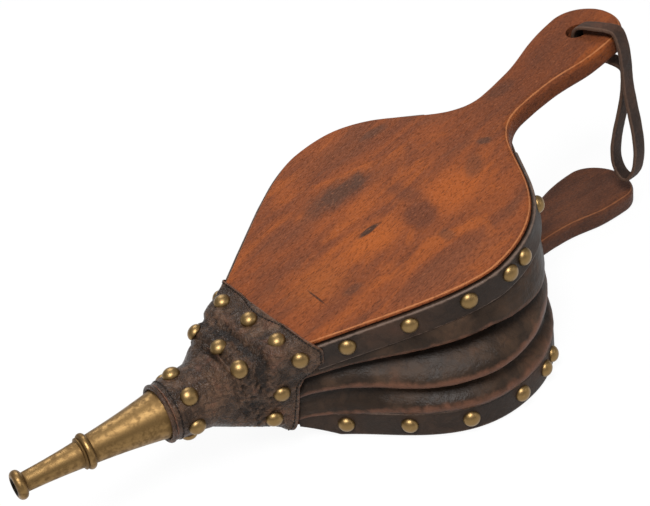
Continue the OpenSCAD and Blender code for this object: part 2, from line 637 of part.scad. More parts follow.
// Inlet valve on the base: a leather flap with a wooden stiffener, held by a cleat and a keeper strap
flap_hw = inlet_r + flap_lap;
cleat_l = 8;
cleat_t = 3;
flap_hinge_x = inlet_x - flap_hw;
module valve_flap() color("saddlebrown") translate([flap_hinge_x, 0, board_t + fit])
    linear_extrude(flap_t) union() {
    translate([0, -flap_hw]) square([flap_hw, 2 * flap_hw]);
    translate([flap_hw, 0]) circle(flap_hw);
}
module valve_stiffener() color("peru") translate([inlet_x, 0, board_t + fit + flap_t])
    cylinder(stiffener_t, r = inlet_r);
module valve_cleat() color("peru") translate([flap_hinge_x - 2 * fit - cleat_l, -flap_hw, board_t])
    difference() {
    cube([cleat_l, 2 * flap_hw, cleat_t]);
    translate([cleat_l, -over, cleat_t]) rotate([0, 45, 0])
        cube([2, 2 * flap_hw + 2 * over, 2], center = false);
}
tack_r = 2.4;
tack_h = 1;
tack_l = 8;
tack_shank_r = 0.6;
module tack() rotate_extrude()
    polygon([[0, -tack_l], [tack_shank_r, -tack_l + 1], [tack_shank_r, 0], [tack_r, 0],
    [tack_r * 0.7, tack_h * 0.8], [0, tack_h]]);
module valve_tacks() color("dimgray") for (k = [-1, 0, 1])
    translate([flap_hinge_x - 2 * fit - cleat_l / 2 - 1, k * (flap_hw - tack_r - 3), board_t + cleat_t])
        tack();

// Keeper strap: a leather arch across the flap, tacked down at its two feet
keeper_w = 9;
keeper_t = 1.8;
keeper_foot = 10;
keeper_hw = flap_hw + 3;
arch_steps = 12;
function keeper_line(grow) = concat(
    [[-keeper_hw - keeper_foot, board_t + grow], [-keeper_hw - grow, board_t + grow]],
    [for (i = [1 : arch_steps - 1]) let (a = 180 - 180 * i / arch_steps)
        [(keeper_hw + grow) * cos(a), board_t + (keeper_h + grow) * pow(sin(a), 0.6)]],
    [[keeper_hw + grow, board_t + grow], [keeper_hw + keeper_foot, board_t + grow]]);
module valve_keeper() color("saddlebrown") translate([inlet_x + keeper_w / 2, 0, 0]) rotate([90, 0, -90])
    linear_extrude(keeper_w) polygon(concat(
        [for (p = keeper_line(0)) p], [for (i = [arch_steps + 2 : -1 : 0]) keeper_line(keeper_t)[i]]));
module keeper_tacks() color("dimgray") for (side = [-1, 1])
    translate([inlet_x, side * (keeper_hw + keeper_foot / 2 + tack_shank_r), board_t + keeper_t]) tack();

// Hanging thong: a flat strap from the hole in the grip, over its edge, down in a loop and back
thong_room = 12;
hole_top = from_top([thong_hole_s, 0, 0]);
hole_low = from_top([thong_hole_s, 0, -board_t]);
grip_edge = bulb_hw + 2;
// Over the grip, measured from the hole's upper end
thong_over = [for (p = [
    [1.5, 0, -8], [0.5, 0, -1], [0.2, -3, 3.5], [0.8, -8, 4.8], [2, -15, 5.2], [3.6, -21, 5],
        [5.2, -grip_edge + 0.6, 3]])
    hole_top + p];
// Down and up again: distance along X from the hole, Y from the grip's edge, share of the hanging height
thong_loop = [for (p = [
    [7, -1.4, 0.95], [8.6, -1.6, 0.88], [10.2, -1.2, 0.81], [12, -0.4, 0.73], [13.6, 0, 0.65],
        [14.8, -0.6, 0.57],
    [15.6, -2, 0.48], [16.2, -3.8, 0.38], [16.8, -5, 0.27], [17, -5, 0.17], [17, -3, 0.07], [16.8, 2, 0],
    [16.6, 7.5, 0.02], [16.6, 11.5, 0.09], [16.8, 12.4, 0.18], [17.2, 11.2, 0.29], [17.6, 9, 0.4],
        [17.8, 6.6, 0.51],
    [17.6, 4.8, 0.61], [17, 4, 0.7], [15.4, 4.2, 0.77]])
    [hole_top.x + p.x, p.y - grip_edge, lerp(board_t + thong_room, hole_top.z, p.z)]];
// Back into the hole from below, measured from its lower end
thong_back = [for (p = [
    [8.5, -15, -5.4], [5, -9.5, -4.6], [2.2, -4.5, -3], [0.8, -1, 0.5], [0.2, 0, 2.5]]) hole_low + p];
thong_points = concat(thong_over, thong_loop, thong_back);
thong_side = [1, 0, 0];
thong_edge = 0.35;
function thong_ring(i) =
    let (n = len(thong_points), d = unit(thong_points[min(i + 1, n - 1)] - thong_points[max(i - 1, 0)]),
         w = unit(thong_side - d * (thong_side * d)), h = cross(d, w), a = thong_w / 2, b = thong_t / 2,
         c = thong_t * thong_edge)
    [for (q = [[a, b - c], [a - c, b], [c - a, b], [-a, b - c], [-a, c - b], [c - a, -b], [a - c, -b],
        [a, c - b]])
        thong_points[i] + w * q.x + h * q.y];
module thong() color("#3a2a22") skin([for (i = [0 : len(thong_points) - 1]) thong_ring(i)]);

top_board();
bottom_board();
head_block();
block_screws();
nozzle();
nozzle_pins();
hinge_leather();
head_wrap();
wrap_welt();
wrap_board_nails();
wrap_block_nails();
gusset();
gusset_hoop();
upper_strip();
upper_strip_nails();
lower_strip();
lower_strip_nails();
valve_flap();
valve_stiffener();
valve_cleat();
valve_tacks();
valve_keeper();
keeper_tacks();
thong();
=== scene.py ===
import math

import bmesh
import bpy
import numpy as np
from mathutils import Matrix, Vector
from mathutils import noise as softNoise


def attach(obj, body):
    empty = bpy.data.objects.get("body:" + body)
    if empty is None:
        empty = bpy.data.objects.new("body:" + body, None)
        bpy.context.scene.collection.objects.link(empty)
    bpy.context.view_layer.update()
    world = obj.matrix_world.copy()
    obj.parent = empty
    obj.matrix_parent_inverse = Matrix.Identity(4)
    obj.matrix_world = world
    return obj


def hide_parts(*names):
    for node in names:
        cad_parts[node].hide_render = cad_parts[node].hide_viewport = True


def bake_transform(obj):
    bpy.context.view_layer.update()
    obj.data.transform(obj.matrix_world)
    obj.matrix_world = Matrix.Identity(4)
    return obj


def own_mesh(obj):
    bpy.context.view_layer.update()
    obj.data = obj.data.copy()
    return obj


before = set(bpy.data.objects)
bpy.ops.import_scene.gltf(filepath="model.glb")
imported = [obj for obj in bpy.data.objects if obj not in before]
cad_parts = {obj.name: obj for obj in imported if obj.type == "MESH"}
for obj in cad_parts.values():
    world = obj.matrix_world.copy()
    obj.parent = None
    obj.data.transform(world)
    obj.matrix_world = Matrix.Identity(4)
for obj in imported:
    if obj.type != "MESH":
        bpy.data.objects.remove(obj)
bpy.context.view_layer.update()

scene = bpy.context.scene
mm = 0.001  # shapes are worked out in millimetres


# small helpers for curves, meshes and nodes
def ease(x):
    x = np.clip(x, 0.0, 1.0)
    return x * x * (3.0 - 2.0 * x)


def rise(x, start, run):  # soft step up that begins at start
    return ease((x - start) / run)


def fall(x, end, run):  # soft step down that is over at end
    return ease((end - x) / run)


def bump(x, centre, width):
    return np.exp(-((x - centre) / width) ** 2)


def bez(a, b, c, d, t):
    t = np.asarray(t, float).reshape(-1, 1)
    a, b, c, d = (np.asarray(p, float) for p in (a, b, c, d))
    return a * (1 - t) ** 3 + 3 * b * t * (1 - t) ** 2 + 3 * c * t * t * (1 - t) + d * t ** 3


def unit(v):
    return v / np.linalg.norm(v, axis=-1, keepdims=True)


def runOf(points):  # distance along a line at each of its points
    return np.concatenate([[0.0], np.cumsum(np.linalg.norm(np.diff(points, axis=0), axis=1))])


def resample(points, step=1.0, closed=False, count=None):  # even spacing along a line
    points = np.asarray(points, float)
    if closed:
        points = np.vstack([points, points[:1]])
    run = runOf(points)
    at = np.linspace(0, run[-1], count or max(3, int(round(run[-1] / step)) + 1))
    line = np.stack([np.interp(at, run, points[:, k]) for k in range(points.shape[1])], 1)
    return line[:-1] if closed else line


def roughen(points, scale, octaves=3, seed=0):  # soft noise, about -1 to 1
    shift = Vector((seed * 7.31, seed * 3.17, seed * 5.93))
    return np.array([softNoise.fractal(Vector(p) * scale + shift, 1.0, 2.0, octaves) for p in np.asarray(points)])


def gridFaces(rows, cols, loopRows=False, loopCols=False):
    i = np.arange(rows if loopRows else rows - 1)[:, None]
    j = np.arange(cols if loopCols else cols - 1)[None, :]
    nextI, nextJ = (i + 1) % rows, (j + 1) % cols
    quads = np.broadcast_arrays(i * cols + j, i * cols + nextJ, nextI * cols + nextJ, nextI * cols + j)
    return np.stack(quads, -1).reshape(-1, 4).tolist()


def tubeFaces(rows, cols):  # a closed tube with a cap at each end
    return gridFaces(rows, cols, False, True) + [list(range(cols))[::-1], list(range((rows - 1) * cols, rows * cols))]


def addMesh(name, points, faces, edges=(), **masks):  # points in mm, masks are values per point
    mesh = bpy.data.meshes.new(name)
    mesh.from_pydata((np.asarray(points).reshape(-1, 3) * mm).tolist(), edges, faces)
    for key, values in masks.items():
        layer = mesh.attributes.new(key, "FLOAT", "POINT")
        layer.data.foreach_set("value", np.asarray(values, np.float32).ravel())
    mesh.polygons.foreach_set("use_smooth", [True] * len(mesh.polygons))
    obj = bpy.data.objects.new(name, mesh)
    scene.collection.objects.link(obj)
    return obj


def faceOut(obj, creaseAngle=None):  # normals outwards, hard edges kept sharp
    work = bmesh.new()
    work.from_mesh(obj.data)
    bmesh.ops.recalc_face_normals(work, faces=work.faces)
    if creaseAngle:
        for edge in work.edges:
            edge.smooth = edge.calc_face_angle(0.0) < math.radians(creaseAngle)
    work.to_mesh(obj.data)
    work.free()
    return obj


def freeze(obj):  # what the modifiers make becomes the plain mesh
    graph = bpy.context.evaluated_depsgraph_get()
    mesh = bpy.data.meshes.new_from_object(obj.evaluated_get(graph))
    obj.modifiers.clear()
    obj.data = mesh
    return obj


def giveWall(obj, thickness):  # a skin gets its leather thickness inwards
    wall = obj.modifiers.new("wall", "SOLIDIFY")
    wall.thickness, wall.offset = thickness * mm, -1.0
    return freeze(obj)


def feed(tree, socket, value):
    if isinstance(value, bpy.types.NodeSocket):
        tree.links.new(value, socket)
    else:
        socket.default_value = value


def addNode(tree, kind, inputs=None, **settings):
    made = tree.nodes.new(kind)
    for key, value in settings.items():
        setattr(made, key, value)
    for key, value in (inputs or {}).items():
        feed(tree, made.inputs[key], value)
    return made


def mixColor(tree, share, a, b):
    return addNode(tree, "ShaderNodeMix", {0: share, 6: a, 7: b}, data_type="RGBA").outputs[2]


def maths(tree, how, a, b=0.5):
    return addNode(tree, "ShaderNodeMath", {0: a, 1: b}, operation=how).outputs[0]


def between(tree, value, low, high, toLow=0.0, toHigh=1.0):  # soft step from low to high
    made = addNode(tree, "ShaderNodeMapRange", {0: value, 1: low, 2: high, 3: toLow, 4: toHigh})
    made.interpolation_type = "SMOOTHSTEP"
    return made.outputs[0]


def noiseOf(tree, vector, scale, detail=3.0, rough=0.5, distortion=0.0):
    inputs = {"Vector": vector, "Scale": scale, "Detail": detail, "Roughness": rough, "Distortion": distortion}
    return addNode(tree, "ShaderNodeTexNoise", inputs).outputs[0]


def stretched(tree, vector, scale, turn=(0, 0, 0), shift=(0, 0, 0)):
    inputs = {"Vector": vector, "Location": shift, "Rotation": turn, "Scale": scale}
    return addNode(tree, "ShaderNodeMapping", inputs).outputs[0]


def attribute(tree, name):
    return addNode(tree, "ShaderNodeAttribute", attribute_name=name).outputs["Fac"]


# camera: the photograph's viewing angle, image 650 x 506
cameraView = {
    "azimuth": -30.64, "elevation": 35.10, "roll": -12.71,
    "focalPixels": 1000.76, "imageWidth": 650, "sensor": 36.0,
    "distance": 529.52, "target": (-50.6, 0.0, 84.3),
}


def makeCamera(view):
    a, e, roll = (math.radians(view[k]) for k in ("azimuth", "elevation", "roll"))
    back = Vector((math.sin(a) * math.cos(e), -math.cos(a) * math.cos(e), math.sin(e)))
    right = Vector((math.cos(a), math.sin(a), 0))
    up = back.cross(right)
    turnedRight = math.cos(roll) * right + math.sin(roll) * up
    turnedUp = math.cos(roll) * up - math.sin(roll) * right
    data = bpy.data.cameras.new("camera")
    data.sensor_width = view["sensor"]
    data.lens = view["focalPixels"] * view["sensor"] / view["imageWidth"]
    data.clip_start, data.clip_end = 0.01, 20
    camera = bpy.data.objects.new("camera", data)
    scene.collection.objects.link(camera)
    place = (Vector(view["target"]) + back * view["distance"]) * mm
    turn = Matrix((turnedRight, turnedUp, back)).transposed().to_4x4()
    camera.matrix_world = Matrix.Translation(place) @ turn
    scene.camera = camera


makeCamera(cameraView)

# the boards' outlines and the frame of the top board, as in the part
hinge = np.array([-125.6, 0.0, 65.4])
openAngle = math.radians(12.8)
baseFront = -122.0  # front line of the base's outline
boardThick = 14.0
topBoardShape = {"belly": (122, 85), "nose": 22, "slope": 0.34, "nosePull": 0.287, "bellyPull": 0.247}
baseBoardShape = {"belly": (113, 91), "nose": 18.5, "slope": 0.0, "nosePull": 0.425, "bellyPull": 0.507}
handleShape = {"neck": (216, 15), "bulb": (287, 24), "end": 307,
               "shoulderPull": 0.65, "neckPull": 0.415, "gripPull": 0.577, "bulbPull": 0.507, "roundPull": 0.5523}
leatherLine = {"topLead": 0.19, "baseLead": 0.15, "turn": 0.62, "rear": 205, "turnPull": 18, "crossPull": 13}


def fromTop(points):  # top board's frame to the object's frame
    p = np.asarray(points, float)
    c, s = math.cos(openAngle), math.sin(openAngle)
    return np.stack([hinge[0] + p[..., 0] * c - p[..., 2] * s, p[..., 1],
                     hinge[2] + p[..., 0] * s + p[..., 2] * c], -1)


def noseCurve(b, t):
    at, half = b["belly"]
    lead = b["nosePull"] * at
    return bez((0, b["nose"]), (lead, b["nose"] + b["slope"] * lead), (at - b["bellyPull"] * at, half), (at, half), t)


def shoulderCurve(b, t):
    (at, half), (neckAt, neck), h = b["belly"], handleShape["neck"], handleShape
    run = neckAt - at
    return bez((at, half), (at + h["shoulderPull"] * run, half), (neckAt - h["neckPull"] * run, neck), (neckAt, neck), t)


def gripCurve(t):
    (neckAt, neck), (bulbAt, bulb), h = handleShape["neck"], handleShape["bulb"], handleShape
    run = bulbAt - neckAt
    return bez((neckAt, neck), (neckAt + h["gripPull"] * run, neck), (bulbAt - h["bulbPull"] * run, bulb), (bulbAt, bulb), t)


def endCurve(t):
    (bulbAt, bulb), end, pull = handleShape["bulb"], handleShape["end"], handleShape["roundPull"]
    return bez((bulbAt, bulb), (bulbAt + pull * (end - bulbAt), bulb), (end, pull * bulb), (end, 0), t)


def crossCurve(b, t):  # across in front of the handle's neck
    p, q = shoulderCurve(b, [leatherLine["turn"], leatherLine["turn"] - 0.01])
    ahead = unit(p - q)
    rear = leatherLine["rear"]
    return bez(p, p + ahead * leatherLine["turnPull"], (rear, leatherLine["crossPull"]), (rear, 0), t)


def halfOutline(b):
    t = np.linspace(0, 1, 90)
    return np.vstack([noseCurve(b, t)[:-1], shoulderCurve(b, t)[:-1], gripCurve(t)[:-1], endCurve(t)])


def bothSides(half):  # near side first, round the rear, back along the far side
    return np.vstack([half * (1, -1), half[-2::-1]])


def halfPath(b, lead, counts):
    return np.vstack([noseCurve(b, np.linspace(lead, 1, counts[0] + 1))[:-1],
                      shoulderCurve(b, np.linspace(0, leatherLine["turn"], counts[1] + 1))[:-1],
                      crossCurve(b, np.linspace(0, 1, counts[2]))])


def lineNormals(points, closed=False):  # outwards, for a line that runs anticlockwise
    if closed:
        along = np.roll(points, -1, 0) - np.roll(points, 1, 0)
    else:
        along = np.gradient(points, axis=0)
    along = unit(along)
    return np.stack([along[:, 1], -along[:, 0]], 1)


def widthAt(b, s):
    half = halfOutline(b)
    return np.interp(s, half[:, 0], half[:, 1])


# thong: flat strap from the hole, over the grip's edge, down in a loop and back
thong = {
    "width": 9.0, "thick": 2.2, "edgeRound": 0.7, "spacing": 1.3, "keep": 0.55,
    "crown": 0.12, "crownAt": (0.55, 0.2, -0.2, -0.55), "rawFrom": 1.5, "rawRun": 1.3,
    "waver": 0.05, "waverNoise": (0.06, 2, 3), "dents": 0.10, "dentNoise": (0.25, 2, 5),  # noise scale, octaves and seed
    "holeTop": (150.37, 0.0, 128.10), "holeLow": (153.47, 0.0, 114.45), "gripEdge": 26.0, "lowest": 26.0,
    "over": [(1.5, 0, -8), (0.5, 0, -1), (0.2, -3, 3.5), (0.8, -8, 4.8), (2, -15, 5.2), (3.6, -21, 5), (5.2, -25.4, 3)],
    "loop": [(7, -1.4, 0.95), (8.6, -1.6, 0.88), (10.2, -1.2, 0.81), (12, -0.4, 0.73), (13.6, 0, 0.65),
             (14.8, -0.6, 0.57), (15.6, -2, 0.48), (16.2, -3.8, 0.38), (16.8, -5, 0.27), (17, -5, 0.17),
             (17, -3, 0.07), (16.8, 2, 0), (16.6, 7.5, 0.02), (16.6, 11.5, 0.09), (16.8, 12.4, 0.18),
             (17.2, 11.2, 0.29), (17.6, 9, 0.4), (17.8, 6.6, 0.51), (17.6, 4.8, 0.61), (17, 4, 0.7), (15.4, 4.2, 0.77)],
    "back": [(8.5, -15, -5.4), (5, -9.5, -4.6), (2.2, -4.5, -3), (0.8, -1, 0.5), (0.2, 0, 2.5)],
}


def roundedLine(points, step):  # Catmull-Rom through the points, evenly spaced
    p = np.asarray(points, float)
    p = np.vstack([2 * p[0] - p[1], p, 2 * p[-1] - p[-2]])
    t = np.linspace(0, 1, 24, endpoint=False)[:, None]
    parts = []
    for a, b, c, d in zip(p[:-3], p[1:-2], p[2:-1], p[3:]):
        parts.append(0.5 * (2 * b + (c - a) * t + (2 * a - 5 * b + 4 * c - d) * t ** 2 + (3 * b - a - 3 * c + d) * t ** 3))
    return resample(np.vstack(parts + [p[-2:-1]]), step)


def thongRoute(k):
    top, low = np.array(k["holeTop"]), np.array(k["holeLow"])
    loop = [(top[0] + x, y - k["gripEdge"], k["lowest"] + (top[2] - k["lowest"]) * share) for x, y, share in k["loop"]]
    return np.vstack([top + np.array(k["over"]), loop, low + np.array(k["back"])])


def makeThong(k):
    line = roundedLine(thongRoute(k), k["spacing"])
    along = unit(np.gradient(line, axis=0))
    across = unit(np.array([1.0, 0, 0]) - along * along[:, :1])
    face = np.cross(along, across)
    a, b, r = k["width"] / 2, k["thick"] / 2, k["edgeRound"]
    turns = np.radians(np.arange(0, 91, 30))
    section = []
    for sx, sy, turn in ((1, 1, 0), (-1, 1, math.pi / 2), (-1, -1, math.pi), (1, -1, 1.5 * math.pi)):
        section += [(sx * (a - r) + r * math.cos(w + turn), sy * (b - r) + r * math.sin(w + turn)) for w in turns]
        if sx * sy > 0:
            section += [(sx * a * x, sy * (b + k["crown"] * (1 - x * x))) for x in k["crownAt"]]
    section = np.array(section)
    wave = 1 + k["waver"] * roughen(line, *k["waverNoise"])
    points = line[:, None] + across[:, None] * (section[None, :, :1] * wave[:, None, None])
    points = points + face[:, None] * section[None, :, 1:]
    points += k["dents"] * roughen(points.reshape(-1, 3), *k["dentNoise"]).reshape(len(line), -1, 1) * face[:, None]
    raw = np.broadcast_to(ease((np.abs(section[:, 0]) - a + k["rawFrom"]) / k["rawRun"]), points.shape[:2])
    return faceOut(addMesh("thong_strap", points, tubeFaces(*points.shape[:2]), wear=raw)), line


thongStrap, thongLine = makeThong(thong)
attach(thongStrap, "lid")
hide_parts("thong")
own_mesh(thongStrap)
print("thong: %.0f mm" % runOf(thongLine)[-1])


# shader groups shared by the materials
def newGroup(name, inputs, outputs):  # a number asks for a value socket, all else for a vector socket
    tree = bpy.data.node_groups.new(name, "ShaderNodeTree")
    for label, value in inputs.items():
        kind = "NodeSocketFloat" if isinstance(value, float) else "NodeSocketVector"
        socket = tree.interface.new_socket(label, in_out="INPUT", socket_type=kind)
        if value is not None:
            socket.default_value = value
    for label in outputs:
        tree.interface.new_socket(label, in_out="OUTPUT", socket_type="NodeSocketFloat")
    return tree, tree.nodes.new("NodeGroupInput").outputs, tree.nodes.new("NodeGroupOutput").inputs


def giveOut(tree, outs, **values):
    for label, value in values.items():
        feed(tree, outs[label], value)
    return tree


def makeWoodGrain():  # grain runs along X of the vector
    tree, ins, outs = newGroup("woodGrain", {"Vector": None, "Streak Width": 0.007, "Pore Depth": 0.5},
                               ["Streak", "Blotch", "Mottle", "Pores", "Height"])
    narrow = maths(tree, "DIVIDE", 1.0, ins["Streak Width"])
    sized = addNode(tree, "ShaderNodeVectorMath", {0: ins["Vector"]}, operation="SCALE")
    feed(tree, sized.inputs["Scale"], narrow)
    vector = sized.outputs[0]
    streak = noiseOf(tree, stretched(tree, vector, (0.11, 0.62, 0.62)), 1.0, 4.0, 0.6, 0.7)
    blotch = noiseOf(tree, stretched(tree, vector, (0.13, 0.34, 0.34), shift=(3.1, 0.7, 0)), 1.0, 4.0, 0.58, 0.9)
    fine = noiseOf(tree, stretched(tree, vector, (2.2, 6.5, 6.5)), 1.0, 3.0, 0.65)
    mottle = noiseOf(tree, stretched(tree, vector, (4.2, 7.5, 7.5), turn=(0, 0, 0.5)), 1.0, 3.0, 0.7, 0.4)
    dash = noiseOf(tree, stretched(tree, vector, (3.0, 12.0, 12.0), turn=(0, 0, 0.25)), 1.0, 2.0, 0.5)
    pores = between(tree, dash, 0.56, 0.70)
    sunk = maths(tree, "MULTIPLY", pores, ins["Pore Depth"])
    height = maths(tree, "SUBTRACT", maths(tree, "ADD", fine, mottle), sunk)
    return giveOut(tree, outs, Streak=streak, Blotch=blotch, Mottle=mottle, Pores=pores, Height=height)


def makeStainSpot():  # one soft dark mark, turned and placed on the board
    tree, ins, outs = newGroup("stainSpot", {"Vector": None, "Place": None, "Reach": (0.02, 0.01, 1.0),
                                             "Turn": 0.0, "Softness": 0.5, "Ragged": 0.5}, ["Mask"])
    near = addNode(tree, "ShaderNodeVectorMath", {0: ins["Vector"], 1: ins["Place"]}, operation="SUBTRACT").outputs[0]
    turned = addNode(tree, "ShaderNodeVectorRotate", {"Vector": near, "Angle": ins["Turn"]}, rotation_type="Z_AXIS").outputs[0]
    shrunk = addNode(tree, "ShaderNodeVectorMath", {0: turned, 1: ins["Reach"]}, operation="DIVIDE").outputs[0]
    far = addNode(tree, "ShaderNodeVectorMath", {0: shrunk}, operation="LENGTH").outputs["Value"]
    ragged = maths(tree, "SUBTRACT", noiseOf(tree, stretched(tree, ins["Vector"], (90, 260, 260)), 1.0, 4.0, 0.6), 0.5)
    edge = maths(tree, "ADD", far, maths(tree, "MULTIPLY", ragged, ins["Ragged"]))
    inner = maths(tree, "SUBTRACT", 1.0, ins["Softness"])
    return giveOut(tree, outs, Mask=between(tree, edge, 1.0, inner))


# the mask is wear, and on the boards also a painted highlight along the rounded edges
def makeEdgeWearAndHighlight():  # breaks a wear mask up with noise
    tree, ins, outs = newGroup("edgeWearAndHighlight", {"Vector": None, "WearAndHighlight": 0.0, "Scale": 200.0, "Amount": 1.0}, ["Mask"])
    broken = noiseOf(tree, ins["Vector"], ins["Scale"], 4.0, 0.62, 0.3)
    shifted = maths(tree, "ADD", ins["WearAndHighlight"], maths(tree, "MULTIPLY", maths(tree, "SUBTRACT", broken, 0.5), 1.1))
    return giveOut(tree, outs, Mask=maths(tree, "MULTIPLY", between(tree, shifted, 0.30, 0.95), ins["Amount"]))


def makeLeatherGrain():  # pebbles, creases and rubbed patches
    tree, ins, outs = newGroup("leatherGrain", {"Vector": None, "Pebble Size": 0.0011, "Crease Size": 0.012},
                               ["Creases", "Patches", "Height"])
    fine = maths(tree, "DIVIDE", 1.0, ins["Pebble Size"])
    coarse = maths(tree, "DIVIDE", 1.0, ins["Crease Size"])
    cells = addNode(tree, "ShaderNodeTexVoronoi", {"Vector": ins["Vector"], "Scale": fine, "Randomness": 1.0}, feature="F1")
    pebbles = between(tree, cells.outputs["Distance"], 0.15, 0.85)
    creaseNoise = noiseOf(tree, ins["Vector"], coarse, 5.0, 0.62, 0.4)
    creases = maths(tree, "MULTIPLY", maths(tree, "ABSOLUTE", maths(tree, "SUBTRACT", creaseNoise, 0.5)), 6.0)
    creases = between(tree, creases, 0.0, 0.55)
    patches = noiseOf(tree, ins["Vector"], maths(tree, "MULTIPLY", coarse, 0.42), 4.0, 0.6, 0.15)
    low = maths(tree, "MULTIPLY", pebbles, -0.35)
    height = maths(tree, "ADD", low, maths(tree, "MULTIPLY", creases, 0.65))
    return giveOut(tree, outs, Creases=creases, Patches=patches, Height=height)


# the Hollow input also carries painted shade: the nails' rims and the nozzle's bore
def makePatina():  # tarnish that gathers in hollows
    tree, ins, outs = newGroup("patina", {"Vector": None, "Hollow": 0.0, "Scale": 90.0}, ["Tarnish", "Specks"])
    cloud = noiseOf(tree, ins["Vector"], ins["Scale"], 6.0, 0.65, 0.1)
    tarnish = maths(tree, "ADD", between(tree, cloud, 0.36, 0.70), maths(tree, "MULTIPLY", ins["Hollow"], 0.8))
    specks = noiseOf(tree, ins["Vector"], maths(tree, "MULTIPLY", ins["Scale"], 14.0), 2.0, 0.6)
    return giveOut(tree, outs, Tarnish=between(tree, tarnish, 0.0, 1.0), Specks=between(tree, specks, 0.58, 0.70))


woodGrain, stainSpot, edgeWearAndHighlight = makeWoodGrain(), makeStainSpot(), makeEdgeWearAndHighlight()
leatherGrain, patina = makeLeatherGrain(), makePatina()


def placeGroup(tree, group, **inputs):
    made = tree.nodes.new("ShaderNodeGroup")
    made.node_tree = group
    for key, value in inputs.items():
        feed(tree, made.inputs[key], value)
    return made.outputs


def newMaterial(name, **fixed):  # fixed values go on the shader's own sockets
    material = bpy.data.materials.new(name)
    material.use_nodes = True
    tree = material.node_tree
    shader = tree.nodes["Principled BSDF"]
    for key, value in fixed.items():
        shader.inputs[key.replace("_", " ")].default_value = value
    place = tree.nodes.new("ShaderNodeTexCoord").outputs["Object"]
    return material, tree, shader, place


def relief(tree, shader, height, strength, distance):
    inputs = {"Height": height, "Strength": strength, "Distance": distance}
    tree.links.new(addNode(tree, "ShaderNodeBump", inputs).outputs[0], shader.inputs["Normal"])


def wornAndLitEdge(tree, vector, k):
    inputs = {"Vector": vector, "WearAndHighlight": attribute(tree, "wear"), "Scale": k["wearScale"], "Amount": k["wearShare"]}
    return placeGroup(tree, edgeWearAndHighlight, **inputs)["Mask"]


def setLook(tree, shader, color, value, k):  # the roughness changes over a band of the value
    low, high = (k["rough"] + change for change in k["roughChange"])
    feed(tree, shader.inputs["Base Color"], color)
    feed(tree, shader.inputs["Roughness"], between(tree, value, *k["roughBand"], low, high))


grainDepth = 0.0006  # metres


def woodMaterial(name, k):
    material, tree, shader, place = newMaterial(name, Specular_IOR_Level=k["gloss"])
    board = stretched(tree, place, (1, 1, 1), turn=(0, k["turn"], 0))
    sizes = {"Streak Width": k["streakWidth"], "Pore Depth": k["poreDepth"]}
    grain = placeGroup(tree, woodGrain, Vector=board, **sizes)
    color = mixColor(tree, between(tree, grain["Streak"], *k["streakBand"]), k["dark"], k["mid"])
    color = mixColor(tree, between(tree, grain["Blotch"], *k["warmBand"], 0.0, k["blotchShare"]), color, k["warm"])
    color = mixColor(tree, between(tree, grain["Blotch"], *k["smokeBand"], 0.0, k["smokeShare"]), color, k["smoke"])
    for spot in k["spots"]:
        mask = placeGroup(tree, stainSpot, Vector=board, Place=spot["place"], Reach=spot["reach"], Turn=spot["turn"],
                          Softness=spot["soft"], Ragged=spot["ragged"])["Mask"]
        color = mixColor(tree, maths(tree, "MULTIPLY", mask, spot["depth"]), color, spot["color"])
    color = mixColor(tree, between(tree, grain["Mottle"], *k["lightBand"], 0.0, k["lightShare"]), color, k["light"])
    color = mixColor(tree, between(tree, grain["Mottle"], *k["shadeBand"], 0.0, k["shadeShare"]), color, k["pore"])
    color = mixColor(tree, maths(tree, "MULTIPLY", grain["Pores"], k["poreShare"]), color, k["pore"])
    # lighter worn edges; on the boards this band is also a painted highlight
    color = mixColor(tree, wornAndLitEdge(tree, board, k), color, k["worn"])
    # painted shade on the boards' sides, near black, from the attribute
    color = mixColor(tree, attribute(tree, "grime"), color, k["grime"])
    setLook(tree, shader, color, grain["Mottle"], k)
    relief(tree, shader, grain["Height"], k["relief"], grainDepth)
    return material


def leatherMaterial(name, k):
    material, tree, shader, place = newMaterial(name, Specular_IOR_Level=k["gloss"])
    sizes = {"Pebble Size": k["pebble"], "Crease Size": k["crease"]}
    grain = placeGroup(tree, leatherGrain, Vector=place, **sizes)
    color = mixColor(tree, between(tree, grain["Patches"], *k["midBand"]), k["dark"], k["mid"])
    color = mixColor(tree, between(tree, grain["Patches"], *k["redBand"], 0.0, k["redShare"]), color, k["red"])
    color = mixColor(tree, between(tree, grain["Creases"], *k["creaseBand"], 0.0, k["creaseShare"]), color, k["creaseAndShadeColor"])
    color = mixColor(tree, wornAndLitEdge(tree, place, k), color, k["worn"])
    # painted shade in the gusset's valleys and the wrap's folds and wrinkles, with dark seams, from the attribute
    color = mixColor(tree, maths(tree, "MULTIPLY", attribute(tree, "grime"), k["grimeShare"]), color, k["creaseAndShadeColor"])
    setLook(tree, shader, color, grain["Patches"], k)
    relief(tree, shader, grain["Height"], k["relief"], grainDepth)
    return material


def brassMaterial(name, k):
    material, tree, shader, place = newMaterial(name, Metallic=1.0)
    tarnish = placeGroup(tree, patina, Vector=place, Hollow=attribute(tree, "grime"), Scale=k["scale"])
    color = mixColor(tree, maths(tree, "MULTIPLY", tarnish["Tarnish"], k["tarnishShare"]), k["bright"], k["tarnish"])
    color = mixColor(tree, maths(tree, "MULTIPLY", tarnish["Specks"], k["speckShare"]), color, k["tarnish"])
    # near-black painted shade inside the nozzle's bore
    color = mixColor(tree, between(tree, attribute(tree, "grime"), *k["boreShadeBand"]), color, k["paintedShade"])
    setLook(tree, shader, color, tarnish["Tarnish"], k)
    relief(tree, shader, tarnish["Specks"], k["relief"], k["speckDepth"])
    return material


def steelMaterial(name, k):
    material, tree, shader, place = newMaterial(name, Metallic=1.0)
    tarnish = placeGroup(tree, patina, Vector=place, Hollow=k["hollow"], Scale=k["scale"])
    setLook(tree, shader, mixColor(tree, tarnish["Tarnish"], k["bright"], k["tarnish"]), tarnish["Tarnish"], k)
    return material


